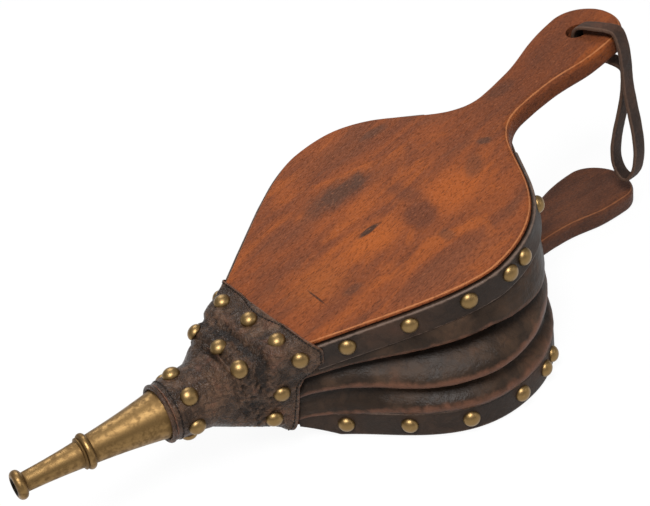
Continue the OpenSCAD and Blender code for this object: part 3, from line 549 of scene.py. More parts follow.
stainFrom = {"along": 107.99, "height": 0.0916}  # the hinge line in the level frame of the grain


def stain(s, y, along, across, turn, depth=0.75, soft=0.6, ragged=0.7, color=(0.057, 0.029, 0.019, 1)):
    return {"place": ((s - stainFrom["along"]) * mm, y * mm, stainFrom["height"]), "reach": (along * mm, across * mm, 1.0),
            "turn": math.radians(-turn), "depth": depth, "soft": soft, "ragged": ragged, "color": color}


boardWood = {
    "turn": openAngle, "gloss": 0.06, "rough": 0.52, "streakWidth": 0.008, "poreDepth": 0.9,
    "mid": (0.179, 0.047, 0.014, 1), "dark": (0.124, 0.036, 0.0145, 1), "warm": (0.255, 0.064, 0.013, 1),
    "light": (0.274, 0.090, 0.034, 1), "streakBand": (0.34, 0.60), "warmBand": (0.50, 0.66), "smokeBand": (0.46, 0.32),
    "lightBand": (0.52, 0.72), "lightShare": 0.40, "shadeBand": (0.47, 0.30), "shadeShare": 0.62, "poreShare": 0.5,
    "roughBand": (0.3, 0.7), "roughChange": (0.10, -0.06), "relief": 0.45,
    # the worn colour also paints a highlight along the boards' rounded edges
    "smoke": (0.090, 0.034, 0.018, 1), "pore": (0.049, 0.016, 0.008, 1), "worn": (0.380, 0.144, 0.055, 1),
    # the near-black colour below is painted shade for the boards' sides
    "grime": (0.008, 0.004, 0.003, 1), "blotchShare": 0.75, "smokeShare": 0.45, "wearShare": 0.8, "wearScale": 160.0,
    "spots": [
        stain(104, 27, 30, 26, -10, 0.45, 0.9, 0.6, (0.258, 0.062, 0.012, 1)),
        stain(148, -28, 32, 24, -8, 0.8, 0.8, 0.7, (0.274, 0.067, 0.013, 1)),
        stain(98, -14, 30, 17, -10, 0.9, 0.8, 0.6, (0.281, 0.070, 0.013, 1)),
        stain(62, -12, 26, 22, -12, 0.5, 0.9, 0.6, (0.274, 0.074, 0.015, 1)),
        stain(122, 25, 50, 14, -10, 0.5, 0.8, 0.7, (0.087, 0.030, 0.016, 1)),
        stain(139, 58, 48, 16, -14, 0.45, 0.8, 0.7, (0.095, 0.033, 0.016, 1)),
        stain(110, -68, 55, 19, -5, 0.5, 0.9, 0.7, (0.130, 0.044, 0.021, 1)),
        stain(112, 32, 32, 15, -13, 0.85, 0.8, 0.8),
        stain(126.5, 29, 9, 5, 37, 0.6),
        stain(125.5, -25, 12, 15, -20, 0.85, 0.5, 0.5, (0.087, 0.028, 0.014, 1)),
        stain(133, -7, 8, 20, 8, 0.6, 0.8, 0.5, (0.091, 0.031, 0.016, 1)),
        stain(102.7, -7.7, 9.5, 2.6, -9, 0.95, 0.6, 0.9, (0.029, 0.017, 0.012, 1)),
        stain(185, -16, 6, 4, -40, 0.8),
        stain(167, -25, 13, 7, 35, 0.45),
        stain(122, -48, 5, 7, 0, 0.5),
        stain(160, 52, 13, 6, -20, 0.6),
        stain(222, 6, 14, 7, -9, 0.7),
        stain(214, 0, 36, 40, 0, 0.4, 0.8, 0.5, (0.090, 0.030, 0.014, 1)),
        stain(54.6, -18.6, 0.8, 11, -3, 0.85, 0.6, 0.5, (0.023, 0.012, 0.008, 1)),
        stain(69, -32, 8, 4, -12, 0.45),
        stain(73, 35, 34, 14, -14, 0.5, 0.9, 0.7, (0.090, 0.034, 0.019, 1)),
        stain(262, 0, 75, 40, 0, 0.5, 0.8, 0.5, (0.076, 0.024, 0.012, 1)),
    ],
}
# the lower board takes the board wood at about half brightness: painted shade under the lid
shadedBaseWood = dict(boardWood, turn=0.0, gloss=0.13, mid=(0.088, 0.030, 0.014, 1), dark=(0.052, 0.019, 0.010, 1),
                light=(0.143, 0.054, 0.025, 1), warm=(0.113, 0.037, 0.014, 1), smoke=(0.055, 0.025, 0.016, 1),
                worn=(0.218, 0.080, 0.031, 1), pore=(0.029, 0.012, 0.008, 1), spots=[])
innerWood = dict(boardWood, turn=0.0, mid=(0.42, 0.27, 0.15, 1), dark=(0.30, 0.18, 0.09, 1), warm=(0.46, 0.29, 0.15, 1),
                 light=(0.5, 0.34, 0.2, 1), smoke=(0.26, 0.16, 0.09, 1), pore=(0.18, 0.10, 0.05, 1), rough=0.62, spots=[])
caneWood = dict(innerWood, mid=(0.52, 0.38, 0.20, 1), dark=(0.40, 0.27, 0.13, 1), warm=(0.55, 0.40, 0.2, 1), streakWidth=0.003)
darkLeather = {
    "gloss": 0.12, "rough": 0.46, "pebble": 0.0010, "crease": 0.012, "relief": 0.26,
    "mid": (0.052, 0.029, 0.017, 1), "dark": (0.021, 0.0130, 0.0085, 1), "red": (0.085, 0.034, 0.019, 1),
    "redShare": 0.5, "creaseShare": 0.25, "creaseAndShadeColor": (0.006, 0.0042, 0.0034, 1),
    "worn": (0.135, 0.058, 0.034, 1), "wearScale": 170.0, "wearShare": 0.68, "grimeShare": 0.85,
    "midBand": (0.38, 0.66), "redBand": (0.56, 0.74), "creaseBand": (0.6, 0.0),
    "roughBand": (0.3, 0.7), "roughChange": (-0.08, 0.10),
}
wrapLeather = dict(darkLeather, creaseShare=0.45, crease=0.0065, relief=0.8,
                   mid=(0.094, 0.052, 0.031, 1), dark=(0.034, 0.0200, 0.0130, 1), redShare=0.9,
                   rough=0.34, gloss=0.15)
stripLeather = dict(darkLeather, mid=(0.038, 0.0215, 0.0135, 1), dark=(0.021, 0.0130, 0.0090, 1), crease=0.016,
                    relief=0.22, redShare=0.3, rough=0.5, gloss=0.13, worn=(0.155, 0.105, 0.080, 1),
                    wearScale=260.0, wearShare=0.7)
thongLeather = dict(darkLeather, mid=(0.046, 0.025, 0.017, 1), dark=(0.024, 0.014, 0.010, 1), worn=(0.125, 0.070, 0.046, 1),
                    wearShare=0.5, pebble=0.0008, relief=0.5, rough=0.6, wearScale=420.0, gloss=0.15)
threadLeather = dict(thongLeather, mid=(0.013, 0.009, 0.007, 1), dark=(0.007, 0.005, 0.004, 1), red=(0.014, 0.008, 0.006, 1))
brownLeather = dict(darkLeather, mid=(0.20, 0.11, 0.06, 1), dark=(0.13, 0.07, 0.04, 1), red=(0.22, 0.10, 0.05, 1),
                    creaseAndShadeColor=(0.06, 0.03, 0.02, 1), rough=0.66, gloss=0.25)
nozzleBrass = {
    # the darkest colour is painted shade for the bore
    "bright": (0.270, 0.164, 0.064, 1), "tarnish": (0.075, 0.042, 0.017, 1), "paintedShade": (0.012, 0.009, 0.006, 1),
    "tarnishShare": 0.5, "rough": 0.40, "scale": 300.0, "speckShare": 0.35, "boreShadeBand": (1.1, 1.6),
    "roughBand": (0.0, 1.0), "roughChange": (0.0, 0.18), "relief": 0.12, "speckDepth": -0.0002,
}
nailBrass = dict(nozzleBrass, bright=(0.60, 0.405, 0.185, 1), tarnish=(0.135, 0.078, 0.026, 1), tarnishShare=0.75,
                 rough=0.24, scale=330.0)
dullSteel = {"bright": (0.42, 0.41, 0.40, 1), "tarnish": (0.16, 0.12, 0.10, 1), "rough": 0.38, "scale": 300.0,
             "hollow": 0.15, "roughBand": (0.0, 1.0), "roughChange": (0.0, 0.2)}

topWoodMat, shadedBaseWoodMat = woodMaterial("worn_board_wood", boardWood), woodMaterial("lower_board_wood_shaded", shadedBaseWood)
innerWoodMat, caneMat = woodMaterial("bare_wood", innerWood), woodMaterial("bent_cane", caneWood)
gussetMat, wrapMat = leatherMaterial("gusset_leather", darkLeather), leatherMaterial("wrap_leather", wrapLeather)
stripMat, thongMat = leatherMaterial("strip_leather", stripLeather), leatherMaterial("thong_leather", thongLeather)
brownMat, threadMat = leatherMaterial("valve_leather", brownLeather), leatherMaterial("waxed_thread", threadLeather)
nozzleMat, nailMat = brassMaterial("nozzle_brass", nozzleBrass), brassMaterial("nail_brass", nailBrass)
steelMat = steelMaterial("dull_steel", dullSteel)
thongStrap.data.materials.append(thongMat)
print("materials: %d" % len(bpy.data.materials))

# boards: a rounded plate from its outline, with worn edges and a painted highlight along them
boardForm = {"bodyRound": 2.2, "gripRound": 4.0, "gripFrom": 165.0, "gripFull": 215.0, "spacing": 1.7, "roundSteps": 14,
             "insets": (10.0, 7.0, 4.8), "wobble": 0.2, "seat": 0.3, "topSideShade": 0.38, "baseSideShade": 0.3,
             "stripShade": (1.5, 0.8), "shadeTo": (185, 15), "sideShade": 2.5, "rubAndHighlightAt": 0.75, "rubAndHighlightWidth": 0.55,
             "wobbleNoise": (0.045, 3, 11), "wobbleFlat": 0.4, "sharpFrom": 38}
holes = {"thong": (283.0, 6.5), "inlet": (12.0, 12.0), "screws": (-97.6, 11.0, 4.15, 13.6),
         "sides": 72, "through": 40, "screwDepth": 30}
noseBevel = {"from": -84.0, "run": 23.0, "front": -103.7, "reach": 46, "below": -6, "half": 60}


def boardRings(outline, k):
    normals = lineNormals(outline, True)
    grip = ease((outline[:, 0] - k["gripFrom"]) / (k["gripFull"] - k["gripFrom"]))
    r = k["bodyRound"] + (k["gripRound"] - k["bodyRound"]) * grip
    flat = np.ones(len(outline))
    low = [(x * flat, 0 * flat, 0.0) for x in k["insets"]]
    # the rounded edges get a lighter band: edge wear and a painted highlight
    for w in np.linspace(0, math.pi / 2, k["roundSteps"]):
        low.append((r * (1 - math.sin(w)), r * (1 - math.cos(w)), bump(w, k["rubAndHighlightAt"], k["rubAndHighlightWidth"] / r)))
    high = [(inset, boardThick - z, wear) for inset, z, wear in reversed(low)]
    worn = k["wobble"] * roughen(np.column_stack([outline, outline[:, 0] * 0]), *k["wobbleNoise"])
    points, wear = [], []
    for inset, z, rubAndHighlight in low + [(0 * flat, boardThick * 0.5 * flat, 0.0)] + high:
        ring = outline - normals * (inset + worn * (k["wobbleFlat"] + rubAndHighlight))[:, None]
        points.append(np.column_stack([ring, z]))
        wear.append(rubAndHighlight * flat)
    return np.array(points), np.array(wear)


def rod(place, radius, depth, tilt=0.0):
    bpy.ops.mesh.primitive_cylinder_add(vertices=holes["sides"], radius=radius * mm, depth=depth * mm,
                                        location=Vector(place) * mm, rotation=(0, tilt, 0))
    return bpy.context.object


def wedge(profile, half):  # a prism across the board
    n = len(profile)
    points = [(x, side * half, z) for side in (-1, 1) for x, z in profile]
    faces = [list(range(n)), list(range(n, 2 * n))] + [[i, (i + 1) % n, n + (i + 1) % n, n + i] for i in range(n)]
    return faceOut(addMesh("wedge", points, faces))


def cutAway(obj, cutters):
    for cutter in cutters:
        cut = obj.modifiers.new("cut", "BOOLEAN")
        cut.object, cut.operation, cut.solver = cutter, "DIFFERENCE", "EXACT"
        freeze(obj)
        bpy.data.objects.remove(cutter)
    return faceOut(obj, boardForm["sharpFrom"])


def makeTopBoard(k):
    outline = resample(bothSides(halfOutline(topBoardShape)), k["spacing"], True)
    rings, wear = boardRings(outline, k)
    x, z, (shadeLow, shadeRun), side = rings[:, :, 0], rings[:, :, 2], k["stripShade"], k["sideShade"]
    # painted shade: the board's side goes near black ahead of the grip, where it meets the strip, and the side is
    # darker below the top
    grime = fall(z, boardThick - shadeLow, shadeRun) * fall(x, *k["shadeTo"])
    grime = np.maximum(grime, k["topSideShade"] * fall(z, boardThick - side, side))
    local = rings - (-k["seat"], 0, boardThick)
    board = addMesh("top_board_wood", fromTop(local), tubeFaces(*wear.shape), wear=wear, grime=grime)
    s, r = holes["thong"]
    return cutAway(board, [rod(fromTop(np.array([s, 0, -boardThick / 2])), r, holes["through"], -openAngle)])


def makeBaseBoard(k):
    half = halfOutline(baseBoardShape)
    front = noseBevel["front"] - baseFront
    nose = [(front, widthAt(baseBoardShape, front))]
    outline = resample(bothSides(np.vstack([nose, half[half[:, 0] > front + 0.5]])), k["spacing"], True)
    rings, wear = boardRings(outline, k)
    rings[:, :, 0] += baseFront
    # painted shade: the base board's side is darker below the top
    grime = k["baseSideShade"] * fall(rings[:, :, 2], boardThick - k["sideShade"], k["sideShade"])
    board = addMesh("bottom_board_wood", rings, tubeFaces(*wear.shape), wear=wear, grime=grime)
    x, y, r, top = holes["screws"]
    start, slope = noseBevel["from"], boardThick / noseBevel["run"]
    reach, below, deep = noseBevel["reach"], noseBevel["below"], holes["screwDepth"]
    cutters = [wedge([(start, 0), (start, below), (start - reach, below), (start - reach, reach * slope)], noseBevel["half"])]
    cutters += [rod((holes["inlet"][0], 0, boardThick / 2), holes["inlet"][1], holes["through"])]
    cutters += [rod((x, side * y, top - deep / 2), r, deep) for side in (-1, 1)]
    return cutAway(board, cutters)


topBoard, baseBoard = makeTopBoard(boardForm), makeBaseBoard(boardForm)
for piece, body, node, material in ((topBoard, "lid", "top_board", topWoodMat),
                                    (baseBoard, "base", "bottom_board", shadedBaseWoodMat)):
    piece.data.materials.clear()
    piece.data.materials.append(material)
    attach(piece, body)
    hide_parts(node)
print("boards: %d and %d points" % (len(topBoard.data.vertices), len(baseBoard.data.vertices)))

# nailed strips along the boards' edges
stripForm = {
    "counts": (90, 64, 48), "trim": 30.0, "dropFrom": 2.0, "dropTo": 8.0, "wave": 0.16, "waveUp": 1.2, "waveNoise": (0.05, 2),
    "upper": {"low": -18.5, "high": -2.5, "cross": -14.3, "seed": 21},
    "lower": {"low": 1.5, "high": 18.0, "cross": 14.3, "seed": 22},
    "section": [(0.3, 0.0, 0), (1.7, 0.0, 0.5), (2.1, 0.015, 0.9), (2.28, 0.05, 0.5), (2.32, 0.12, 0),
                (2.3, 0.3, 0), (2.3, 0.5, 0), (2.3, 0.7, 0), (2.32, 0.85, 0), (2.3, 0.95, 0.5), (2.1, 0.985, 1.0),
                (1.7, 1.0, 0.7), (0.3, 1.0, 0)],  # out, share of the height, wear
}


def makeStrip(name, b, lead, k, upper):
    half = halfPath(b, lead, k["counts"])
    run = runOf(half)
    turnRun = run[k["counts"][0] + k["counts"][1]]
    under = ease((run - turnRun - k["dropFrom"]) / (k["dropTo"] - k["dropFrom"]))
    keep = half[:, 0] > (k["trim"] if upper else -baseFront + noseBevel["front"] + 0.5)
    path, under = bothSides(half[keep]), np.concatenate([under[keep], under[keep][-2::-1]])
    normals = lineNormals(path)
    span = k["upper"] if upper else k["lower"]
    section = np.array(k["section"])
    low = np.full(len(path), span["low"]) if upper else span["low"] + (span["cross"] - span["low"]) * under
    high = span["high"] + (span["cross"] - span["high"]) * under if upper else np.full(len(path), span["high"])
    if not upper:  # the base's nose bevel lifts the strip's lower edge
        low = np.maximum(low, (noseBevel["from"] - baseFront - path[:, 0]) * boardThick / noseBevel["run"] + 0.3)
    z = low[:, None] + (high - low)[:, None] * section[None, :, 1]
    flat = path[:, None] + normals[:, None] * section[None, :, :1]
    points = np.dstack([flat, z])
    sway = k["wave"] * roughen(points.reshape(-1, 3), *k["waveNoise"], span["seed"]).reshape(z.shape)
    outer = (section[:, 0] > 1)[None, :]
    points[:, :, 2] += sway * outer * k["waveUp"]
    points[:, :, :2] += normals[:, None] * (sway * outer)[:, :, None]
    wear = np.broadcast_to(section[None, :, 2], z.shape)
    placed = fromTop(points) if upper else points + (baseFront, 0, 0)
    return faceOut(addMesh(name, placed, tubeFaces(*z.shape), wear=wear, grime=wear * 0))


upperStrip = makeStrip("upper_strip_leather", topBoardShape, leatherLine["topLead"], stripForm, True)
lowerStrip = makeStrip("lower_strip_leather", baseBoardShape, leatherLine["baseLead"], stripForm, False)
for piece, body, node in ((upperStrip, "lid", "upper_strip"), (lowerStrip, "base", "lower_strip")):
    piece.data.materials.append(stripMat)
    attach(piece, body)
    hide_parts(node)
print("strips: %d and %d points" % (len(upperStrip.data.vertices), len(lowerStrip.data.vertices)))

# gusset: three lobes and two valleys between the boards' edges
gussetForm = {
    "counts": (72, 54, 44), "levels": 110, "thick": 1.6, "hemLow": 14.3, "hemHigh": -14.9, "hemIn": -0.7, "hemSlack": 0.9,
    "shareFront": 0.45, "shareFrom": 24.0, "shareFull": 60.0, "wrinkle": 0.30,
    "headTo": 0.30, "rearFrom": 0.36, "rearFull": 0.56, "drift": 0.012, "driftSeed": 31, "pinchIn": 0.06,
    "longWave": (0.05, 3, 41), "shortWave": (0.16, 3, 42), "sagWave": (0.07, 2, 43), "shortShare": 0.5, "sag": 0.35,
    "crests": [("low", 0.85, 0.045), ("mid", 1.0, 0.045), ("high", 0.8, 0.030)], "crestDrop": 0.012,  # lobe, wear, width
    # painted shadow below the upper valley and painted shade in the lower valley
    "paintedShade": (0.35, 0.45, 0.03, 0.95), "lowValleyShade": (0.9, 0.02, 0.05),  # start, run, end and share; share, place and width
    # place and depth of each lobe and valley at the head, the sides and the rear
    "lobes": [("low", (0.10, 3.0), (0.12, 4.2), (0.09, 2.2)),
              ("valleyLow", (0.46, -3.0), (0.28, -4.5), (0.17, -2.5)),
              ("mid", (0.56, 4.8), (0.39, 6.0), (0.42, 1.2)),
              ("valleyHigh", (0.745, -5.6), (0.695, -11.0), (0.54, -1.0)),
              ("high", (0.84, 2.0), (0.77, 2.8), (0.61, 1.4))],
}


def makeGusset(k):
    lowHalf = halfPath(baseBoardShape, leatherLine["baseLead"], k["counts"])
    highHalf = halfPath(topBoardShape, leatherLine["topLead"], k["counts"])
    lowPath, highPath = bothSides(lowHalf), bothSides(highHalf)
    n = len(lowPath)
    low = np.column_stack([lowPath[:, 0] + baseFront, lowPath[:, 1], np.full(n, k["hemLow"])])
    high = fromTop(np.column_stack([highPath, np.full(n, k["hemHigh"])]))
    out = np.column_stack([unit(lineNormals(lowPath) + lineNormals(highPath)), np.zeros(n)])
    halfRun = np.linspace(0, 1, len(lowHalf))
    u = np.concatenate([halfRun, halfRun[-2::-1]])[:, None]  # 0 at the head, 1 behind the handle
    hand = np.sign(lowPath[:, 1])[:, None]
    share = k["shareFront"] + (1 - k["shareFront"]) * ease((lowPath[:, :1] - k["shareFrom"]) / k["shareFull"])
    v = np.linspace(0, 1, k["levels"])[None, :]
    drift = lambda seed: k["drift"] * roughen(np.column_stack([u * 5, hand * 3, u * 0]), 1.0, 2, seed)[:, None]
    head = ease((k["headTo"] - u) / k["headTo"])
    rear = ease((u - k["rearFrom"]) / (k["rearFull"] - k["rearFrom"]))
    keys = {"hemLow": (np.zeros_like(u), np.zeros_like(u))}
    for seed, (name, front, side, back) in enumerate(k["lobes"]):
        at, height = [side[c] + (front[c] - side[c]) * head + (back[c] - side[c]) * rear for c in (0, 1)]
        keys[name] = (at + drift(k["driftSeed"] + seed), height)
    keys["hemHigh"] = (np.ones_like(u), np.zeros_like(u))
    f = np.zeros((n, k["levels"]))
    ordered = list(keys.values())
    for (va, fa), (vb, fb) in zip(ordered[:-1], ordered[1:]):
        t = (v - va) / (vb - va)
        f = np.where((t >= 0) & (t <= 1), fa + (fb - fa) * ease(t), f)
    hem = k["hemIn"] - k["hemSlack"] * v
    line = low[:, None] + (high - low)[:, None] * v[:, :, None]
    points = line + out[:, None] * (hem + share * f)[:, :, None]
    flat = points.reshape(-1, 3)
    wave = roughen(flat * (1, 1, 0.5), *k["longWave"]) + k["shortShare"] * roughen(flat * (1, 1, 2.0), *k["shortWave"])
    pinch = (ease(v / k["pinchIn"]) * fall(v, 1, k["pinchIn"])).repeat(n, 0)
    points += out[:, None] * (k["wrinkle"] * wave.reshape(f.shape) * pinch)[:, :, None]
    points[:, :, 2] += k["sag"] * roughen(flat, *k["sagWave"]).reshape(f.shape) * pinch
    crest = np.zeros_like(f)
    for name, strength, width in k["crests"]:
        crest = np.maximum(crest, strength * bump(v, keys[name][0] - k["crestDrop"], width) * (0.75 + 0.25 * share))
    gap = keys["valleyHigh"][0] - keys["mid"][0]  # painted shadow lies on the face below the upper valley, and painted shade in the lower valley
    (start, length, end, depth), (darkening, above, width) = k["paintedShade"], k["lowValleyShade"]
    paintedShade = ease((v - keys["mid"][0] - start * gap) / (length * gap)) * fall(v, keys["valleyHigh"][0] + end, end)
    grime = np.maximum(darkening * bump(v, keys["valleyLow"][0] + above, width), depth * paintedShade)
    skin = addMesh("gusset_leather", points, gridFaces(n, k["levels"]), wear=crest, grime=grime)
    return giveWall(skin, k["thick"])


gusset = makeGusset(gussetForm)
gusset.data.materials.append(gussetMat)
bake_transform(gusset)
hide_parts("gusset")
print("gusset: %d points" % len(gusset.data.vertices))

# head wrap: a leather tube from the boards over the crease and the root to the nozzle
nozzleFrame = {"start": np.array([-163.6, 0.0, 51.2]), "tilt": math.radians(8)}
wrapForm = {
    "thick": 1.6, "skin": 0.9, "back": 31.5, "over": 0.6, "overCrease": 1.7, "side": 0.6,
    "lowX": -104.5, "lowRear": 13.8, "lowCrease": 24.1, "lowSide": (2.5, 1.5),
    "rearCorner": 1.8, "creaseCorner": 7.0, "rootAt": 21.0, "rootR": 16.2, "frontR": 14.1, "bulge": 2.1,
    "stations": 190, "columns": 100, "soften": 0.09, "flapTo": 0.55, "flapWiden": 0.5, "rearSeam": 0.105, "frontSeam": 2.86,
    "flapShare": (0.0, 0.08, 0.3, 0.52, 0.64, 0.76, 0.9, 1.0),
    "flapX": (-108.6, -105.8, -103.8, -102.6, -97.5, -90.2, -90.0, -95.4),
    "folds": [(0.70, 0.06, -2.2), (0.52, 0.09, 1.7), (0.88, 0.08, 2.1), (1.06, 0.04, -0.8), (1.16, 0.06, 0.9),
              (1.30, 0.05, -0.9), (1.48, 0.12, 0.7), (0.80, 0.03, 0.4)],  # station, width, height
    "deepest": -0.75, "broad": (0.055, 3, 51), "fine": (0.19, 4, 52),  # noise scale, octaves and seed
    "flatSteps": 12, "cornerSteps": 14, "wallSteps": 22, "sideFrom": 20,
    "widenFrom": (0.5, 0.2), "bulgeTo": (0.5, 0.4), "bulgeHigh": (1, 5), "bulgeLow": (26, 9),
    "crispEnds": 0.25, "looseRear": (0.03, 0.12), "looseFront": (3, 0.2), "foldsFrom": (40, 16), "foldBend": 0.09,
    "calm": 0.35, "wrinkled": (1.3, 0.85, 0.45), "broadPush": 0.5, "finePush": 0.8, "lift": 0.15, "boardTo": 1.05, "give": 0.25,
    "tightFrom": (2.75, 0.2), "tightCalm": 0.6, "tightSink": 0.4, "seamGrime": 0.9, "seamWidths": (0.022, 0.03),
    "edgeRub": 0.8, "rearRub": (0.045, 0.04), "frontRub": (2.95, 0.03), "raised": (0.25, 0.8, 0.35), "raisedMost": 0.8,
    "raisedShare": 0.6, "foldShade": 0.60, "wrinkleShade": (1.3, 0.22),
}


def roundKey(at, r):
    start, w = nozzleFrame["start"], nozzleFrame["tilt"]
    x, z = start[0] + at * math.cos(w), start[2] - at * math.sin(w)
    return [x + r * math.sin(w), x - r * math.sin(w), z + r * math.cos(w), z - r * math.cos(w), r, r, r]


def wrapKeys(k):  # x and z at the top and below, half width, corner and half width below
    t = k["thick"]
    rear, crease = fromTop(np.array([[k["back"], 0, k["over"] + t], [0, 0, k["overCrease"] + t]]))
    return np.array([
        [rear[0], k["lowX"], rear[2], k["lowRear"] - t, widthAt(topBoardShape, k["back"]) + k["side"] + t,
         k["rearCorner"] + t, widthAt(baseBoardShape, k["lowX"] - baseFront) + k["lowSide"][0] + t],
        [crease[0], hinge[0], crease[2], k["lowCrease"] - t, topBoardShape["nose"] + k["side"] + t,
         k["creaseCorner"] + t, baseBoardShape["nose"] + k["lowSide"][1] + t],
        roundKey(k["rootAt"], k["rootR"] + t), roundKey(0, k["frontR"] + t)])


def wrapStation(k, u):
    keys = wrapKeys(k)
    return np.stack([np.interp(np.atleast_1d(u), np.arange(4), keys[:, c]) for c in range(7)], 1)


def wrapRing(g, u, k):  # one ring of the tube: from the top over the near side, round below and back
    xTop, xLow, zTop, zLow, halfTop, corner, halfLow = g
    hh, mid = (zTop - zLow) / 2, (zTop + zLow) / 2
    r = min(corner, hh)
    wide = lambda v: halfLow + (halfTop - halfLow) * (v / hh + 1) / 2
    turn = np.radians(np.linspace(90, 180, k["cornerSteps"]))
    vTop = hh - r + r * np.sin(turn)
    line = [(-t * (halfTop - r), hh) for t in np.linspace(0, 1, k["flatSteps"], endpoint=False)]
    line += list(zip(-(wide(vTop) - r) + r * np.cos(turn), vTop))
    line += [(-wide(v), v) for v in np.linspace(hh - r, r - hh, k["wallSteps"])[1:-1]]
    vLow = r - hh + r * np.sin(turn + math.pi / 2)
    line += list(zip(-(wide(vLow) - r) + r * np.cos(turn + math.pi / 2), vLow))
    line += [(-(1 - t) * (halfLow - r), -hh) for t in np.linspace(0, 1, k["flatSteps"])[1:]]
    half = resample(np.array(line), count=k["columns"])
    y, v = half[:, 0], half[:, 1]
    share = (v / hh + 1) / 2
    flap = ease((k["flapTo"] - u) / k["flapTo"])
    straight = k["lowX"] + (xTop - k["lowX"]) * share
    shift = flap * (np.interp(share, k["flapShare"], k["flapX"]) - straight) * ease(np.abs(y) / k["sideFrom"])
    x = xLow + (xTop - xLow) * share + shift
    y = y - k["flapWiden"] * np.maximum(shift, 0) * rise(share, *k["widenFrom"])  # the board widens backwards
    down = hh - v  # the wall stands out over the nailed strip
    strip = fall(u, *k["bulgeTo"]) * rise(down, *k["bulgeHigh"]) * fall(down, *k["bulgeLow"])
    y = y - k["bulge"] * strip * ease(-y / k["sideFrom"])
    near = np.column_stack([x, y, mid + v])
    return np.vstack([near, near[-2:0:-1] * (1, -1, 1)])


def makeWrap(k):
    u = np.linspace(0, 3, k["stations"])
    keys = wrapStation(k, u)
    spread = np.exp(-((u[:, None] - u[None, :]) / k["soften"]) ** 2)
    soft = (spread / spread.sum(1)[:, None]) @ keys
    keys = keys + (soft - keys) * ease(np.minimum(u, 3 - u) / k["crispEnds"])[:, None]
    points = np.array([wrapRing(g, at, k) for g, at in zip(keys, u)])
    rows, cols = points.shape[:2]
    along = np.gradient(points, axis=0)
    around = np.roll(points, -1, 1) - np.roll(points, 1, 1)
    normal = np.cross(along, around)
    normal /= np.linalg.norm(normal, axis=2)[:, :, None] + 1e-9
    if np.mean(np.sum(normal * (points - points.mean(1, keepdims=True)), 2)) < 0:
        normal = -normal
    flat = points.reshape(-1, 3)
    uu = u[:, None] * np.ones((1, cols))
    loose = rise(uu, *k["looseRear"]) * fall(uu, *k["looseFront"])
    broad = roughen(flat, *k["broad"]).reshape(rows, cols)
    fine = np.abs(roughen(flat * (1.0, 1.6, 1.6), *k["fine"]).reshape(rows, cols))
    upper = rise(points[:, :, 2], *k["foldsFrom"])
    bent = uu + k["foldBend"] * broad
    folds = sum(depth * bump(bent, at, width) for at, width, depth in k["folds"]) * upper * (0.85 + 0.5 * broad)
    gain, at, width = k["wrinkled"]
    wrinkly = k["calm"] + gain * bump(uu, at, width)
    push = loose * (k["broadPush"] * broad - k["finePush"] * fine * wrinkly + k["lift"]) + folds * loose
    held = k["deepest"] + k["give"] * np.minimum(push - k["deepest"], 0)  # the leather stays above the board
    push = np.where(uu < k["boardTo"], np.maximum(push, held), push)
    tight = rise(uu, *k["tightFrom"])
    points = points + normal * (push * (1 - k["tightCalm"] * tight) - k["tightSink"] * tight)[:, :, None]
    seams = zip((k["rearSeam"], k["frontSeam"]), k["seamWidths"])
    sewn = sum(k["seamGrime"] * bump(uu, at, width) for at, width in seams)
    edges = fall(uu, *k["rearRub"]) * k["edgeRub"] + k["edgeRub"] * rise(uu, *k["frontRub"])
    level, byBroad, byFolds = k["raised"]
    raised = np.clip(level + byBroad * broad + byFolds * folds, 0, k["raisedMost"]) * k["raisedShare"] * loose
    # painted shade in the fold valleys and the wrinkles; the seams are darkened as joints
    darkening, darkeningFrom = k["wrinkleShade"]
    grime = np.clip(k["foldShade"] * np.maximum(-folds, 0) + darkening * (fine * wrinkly - darkeningFrom) + sewn, 0, 1)
    wear = np.maximum(edges, raised)
    skin = addMesh("head_wrap_leather", points, gridFaces(rows, cols, False, True), wear=wear, grime=grime)
    return points, normal, u, faceOut(skin)


wrapPoints, wrapNormals, wrapU, headWrap = makeWrap(wrapForm)
giveWall(headWrap, wrapForm["skin"])
headWrap.data.materials.append(wrapMat)
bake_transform(headWrap)
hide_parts("head_wrap")
print("head wrap: %d points" % len(headWrap.data.vertices))


# leather hinge under the wrap
hingeStrip = {"half": 13.6, "low": 0.2, "thick": 1.2, "front": (-3.5, -2.0, 0.0), "reach": 15.0, "drop": 0.3, "across": 12}


def makeHingeStrip(k):
    front = [(hinge[0] + x, hinge[2] + k["low"] - (k["drop"] if x < -3 else 0)) for x in k["front"]]
    rear = fromTop(np.array([[s, 0, k["low"]] for s in np.linspace(3, k["reach"], 6)]))
    line = np.vstack([front, rear[:, [0, 2]]])
    across = np.linspace(-k["half"], k["half"], k["across"])
    points = np.array([[(x, y, z + k["thick"]) for y in across] for x, z in line])
    clean = np.zeros(points.shape[:2])
    skin = faceOut(addMesh("hinge_strip", points, gridFaces(len(line), len(across)), wear=clean, grime=clean))
    if skin.data.polygons[0].normal.z < 0:
        skin.data.flip_normals()
    return giveWall(skin, k["thick"])


hingeLeather = makeHingeStrip(hingeStrip)
hingeLeather.data.materials.append(brownMat)
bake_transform(hingeLeather)
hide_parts("hinge_leather")


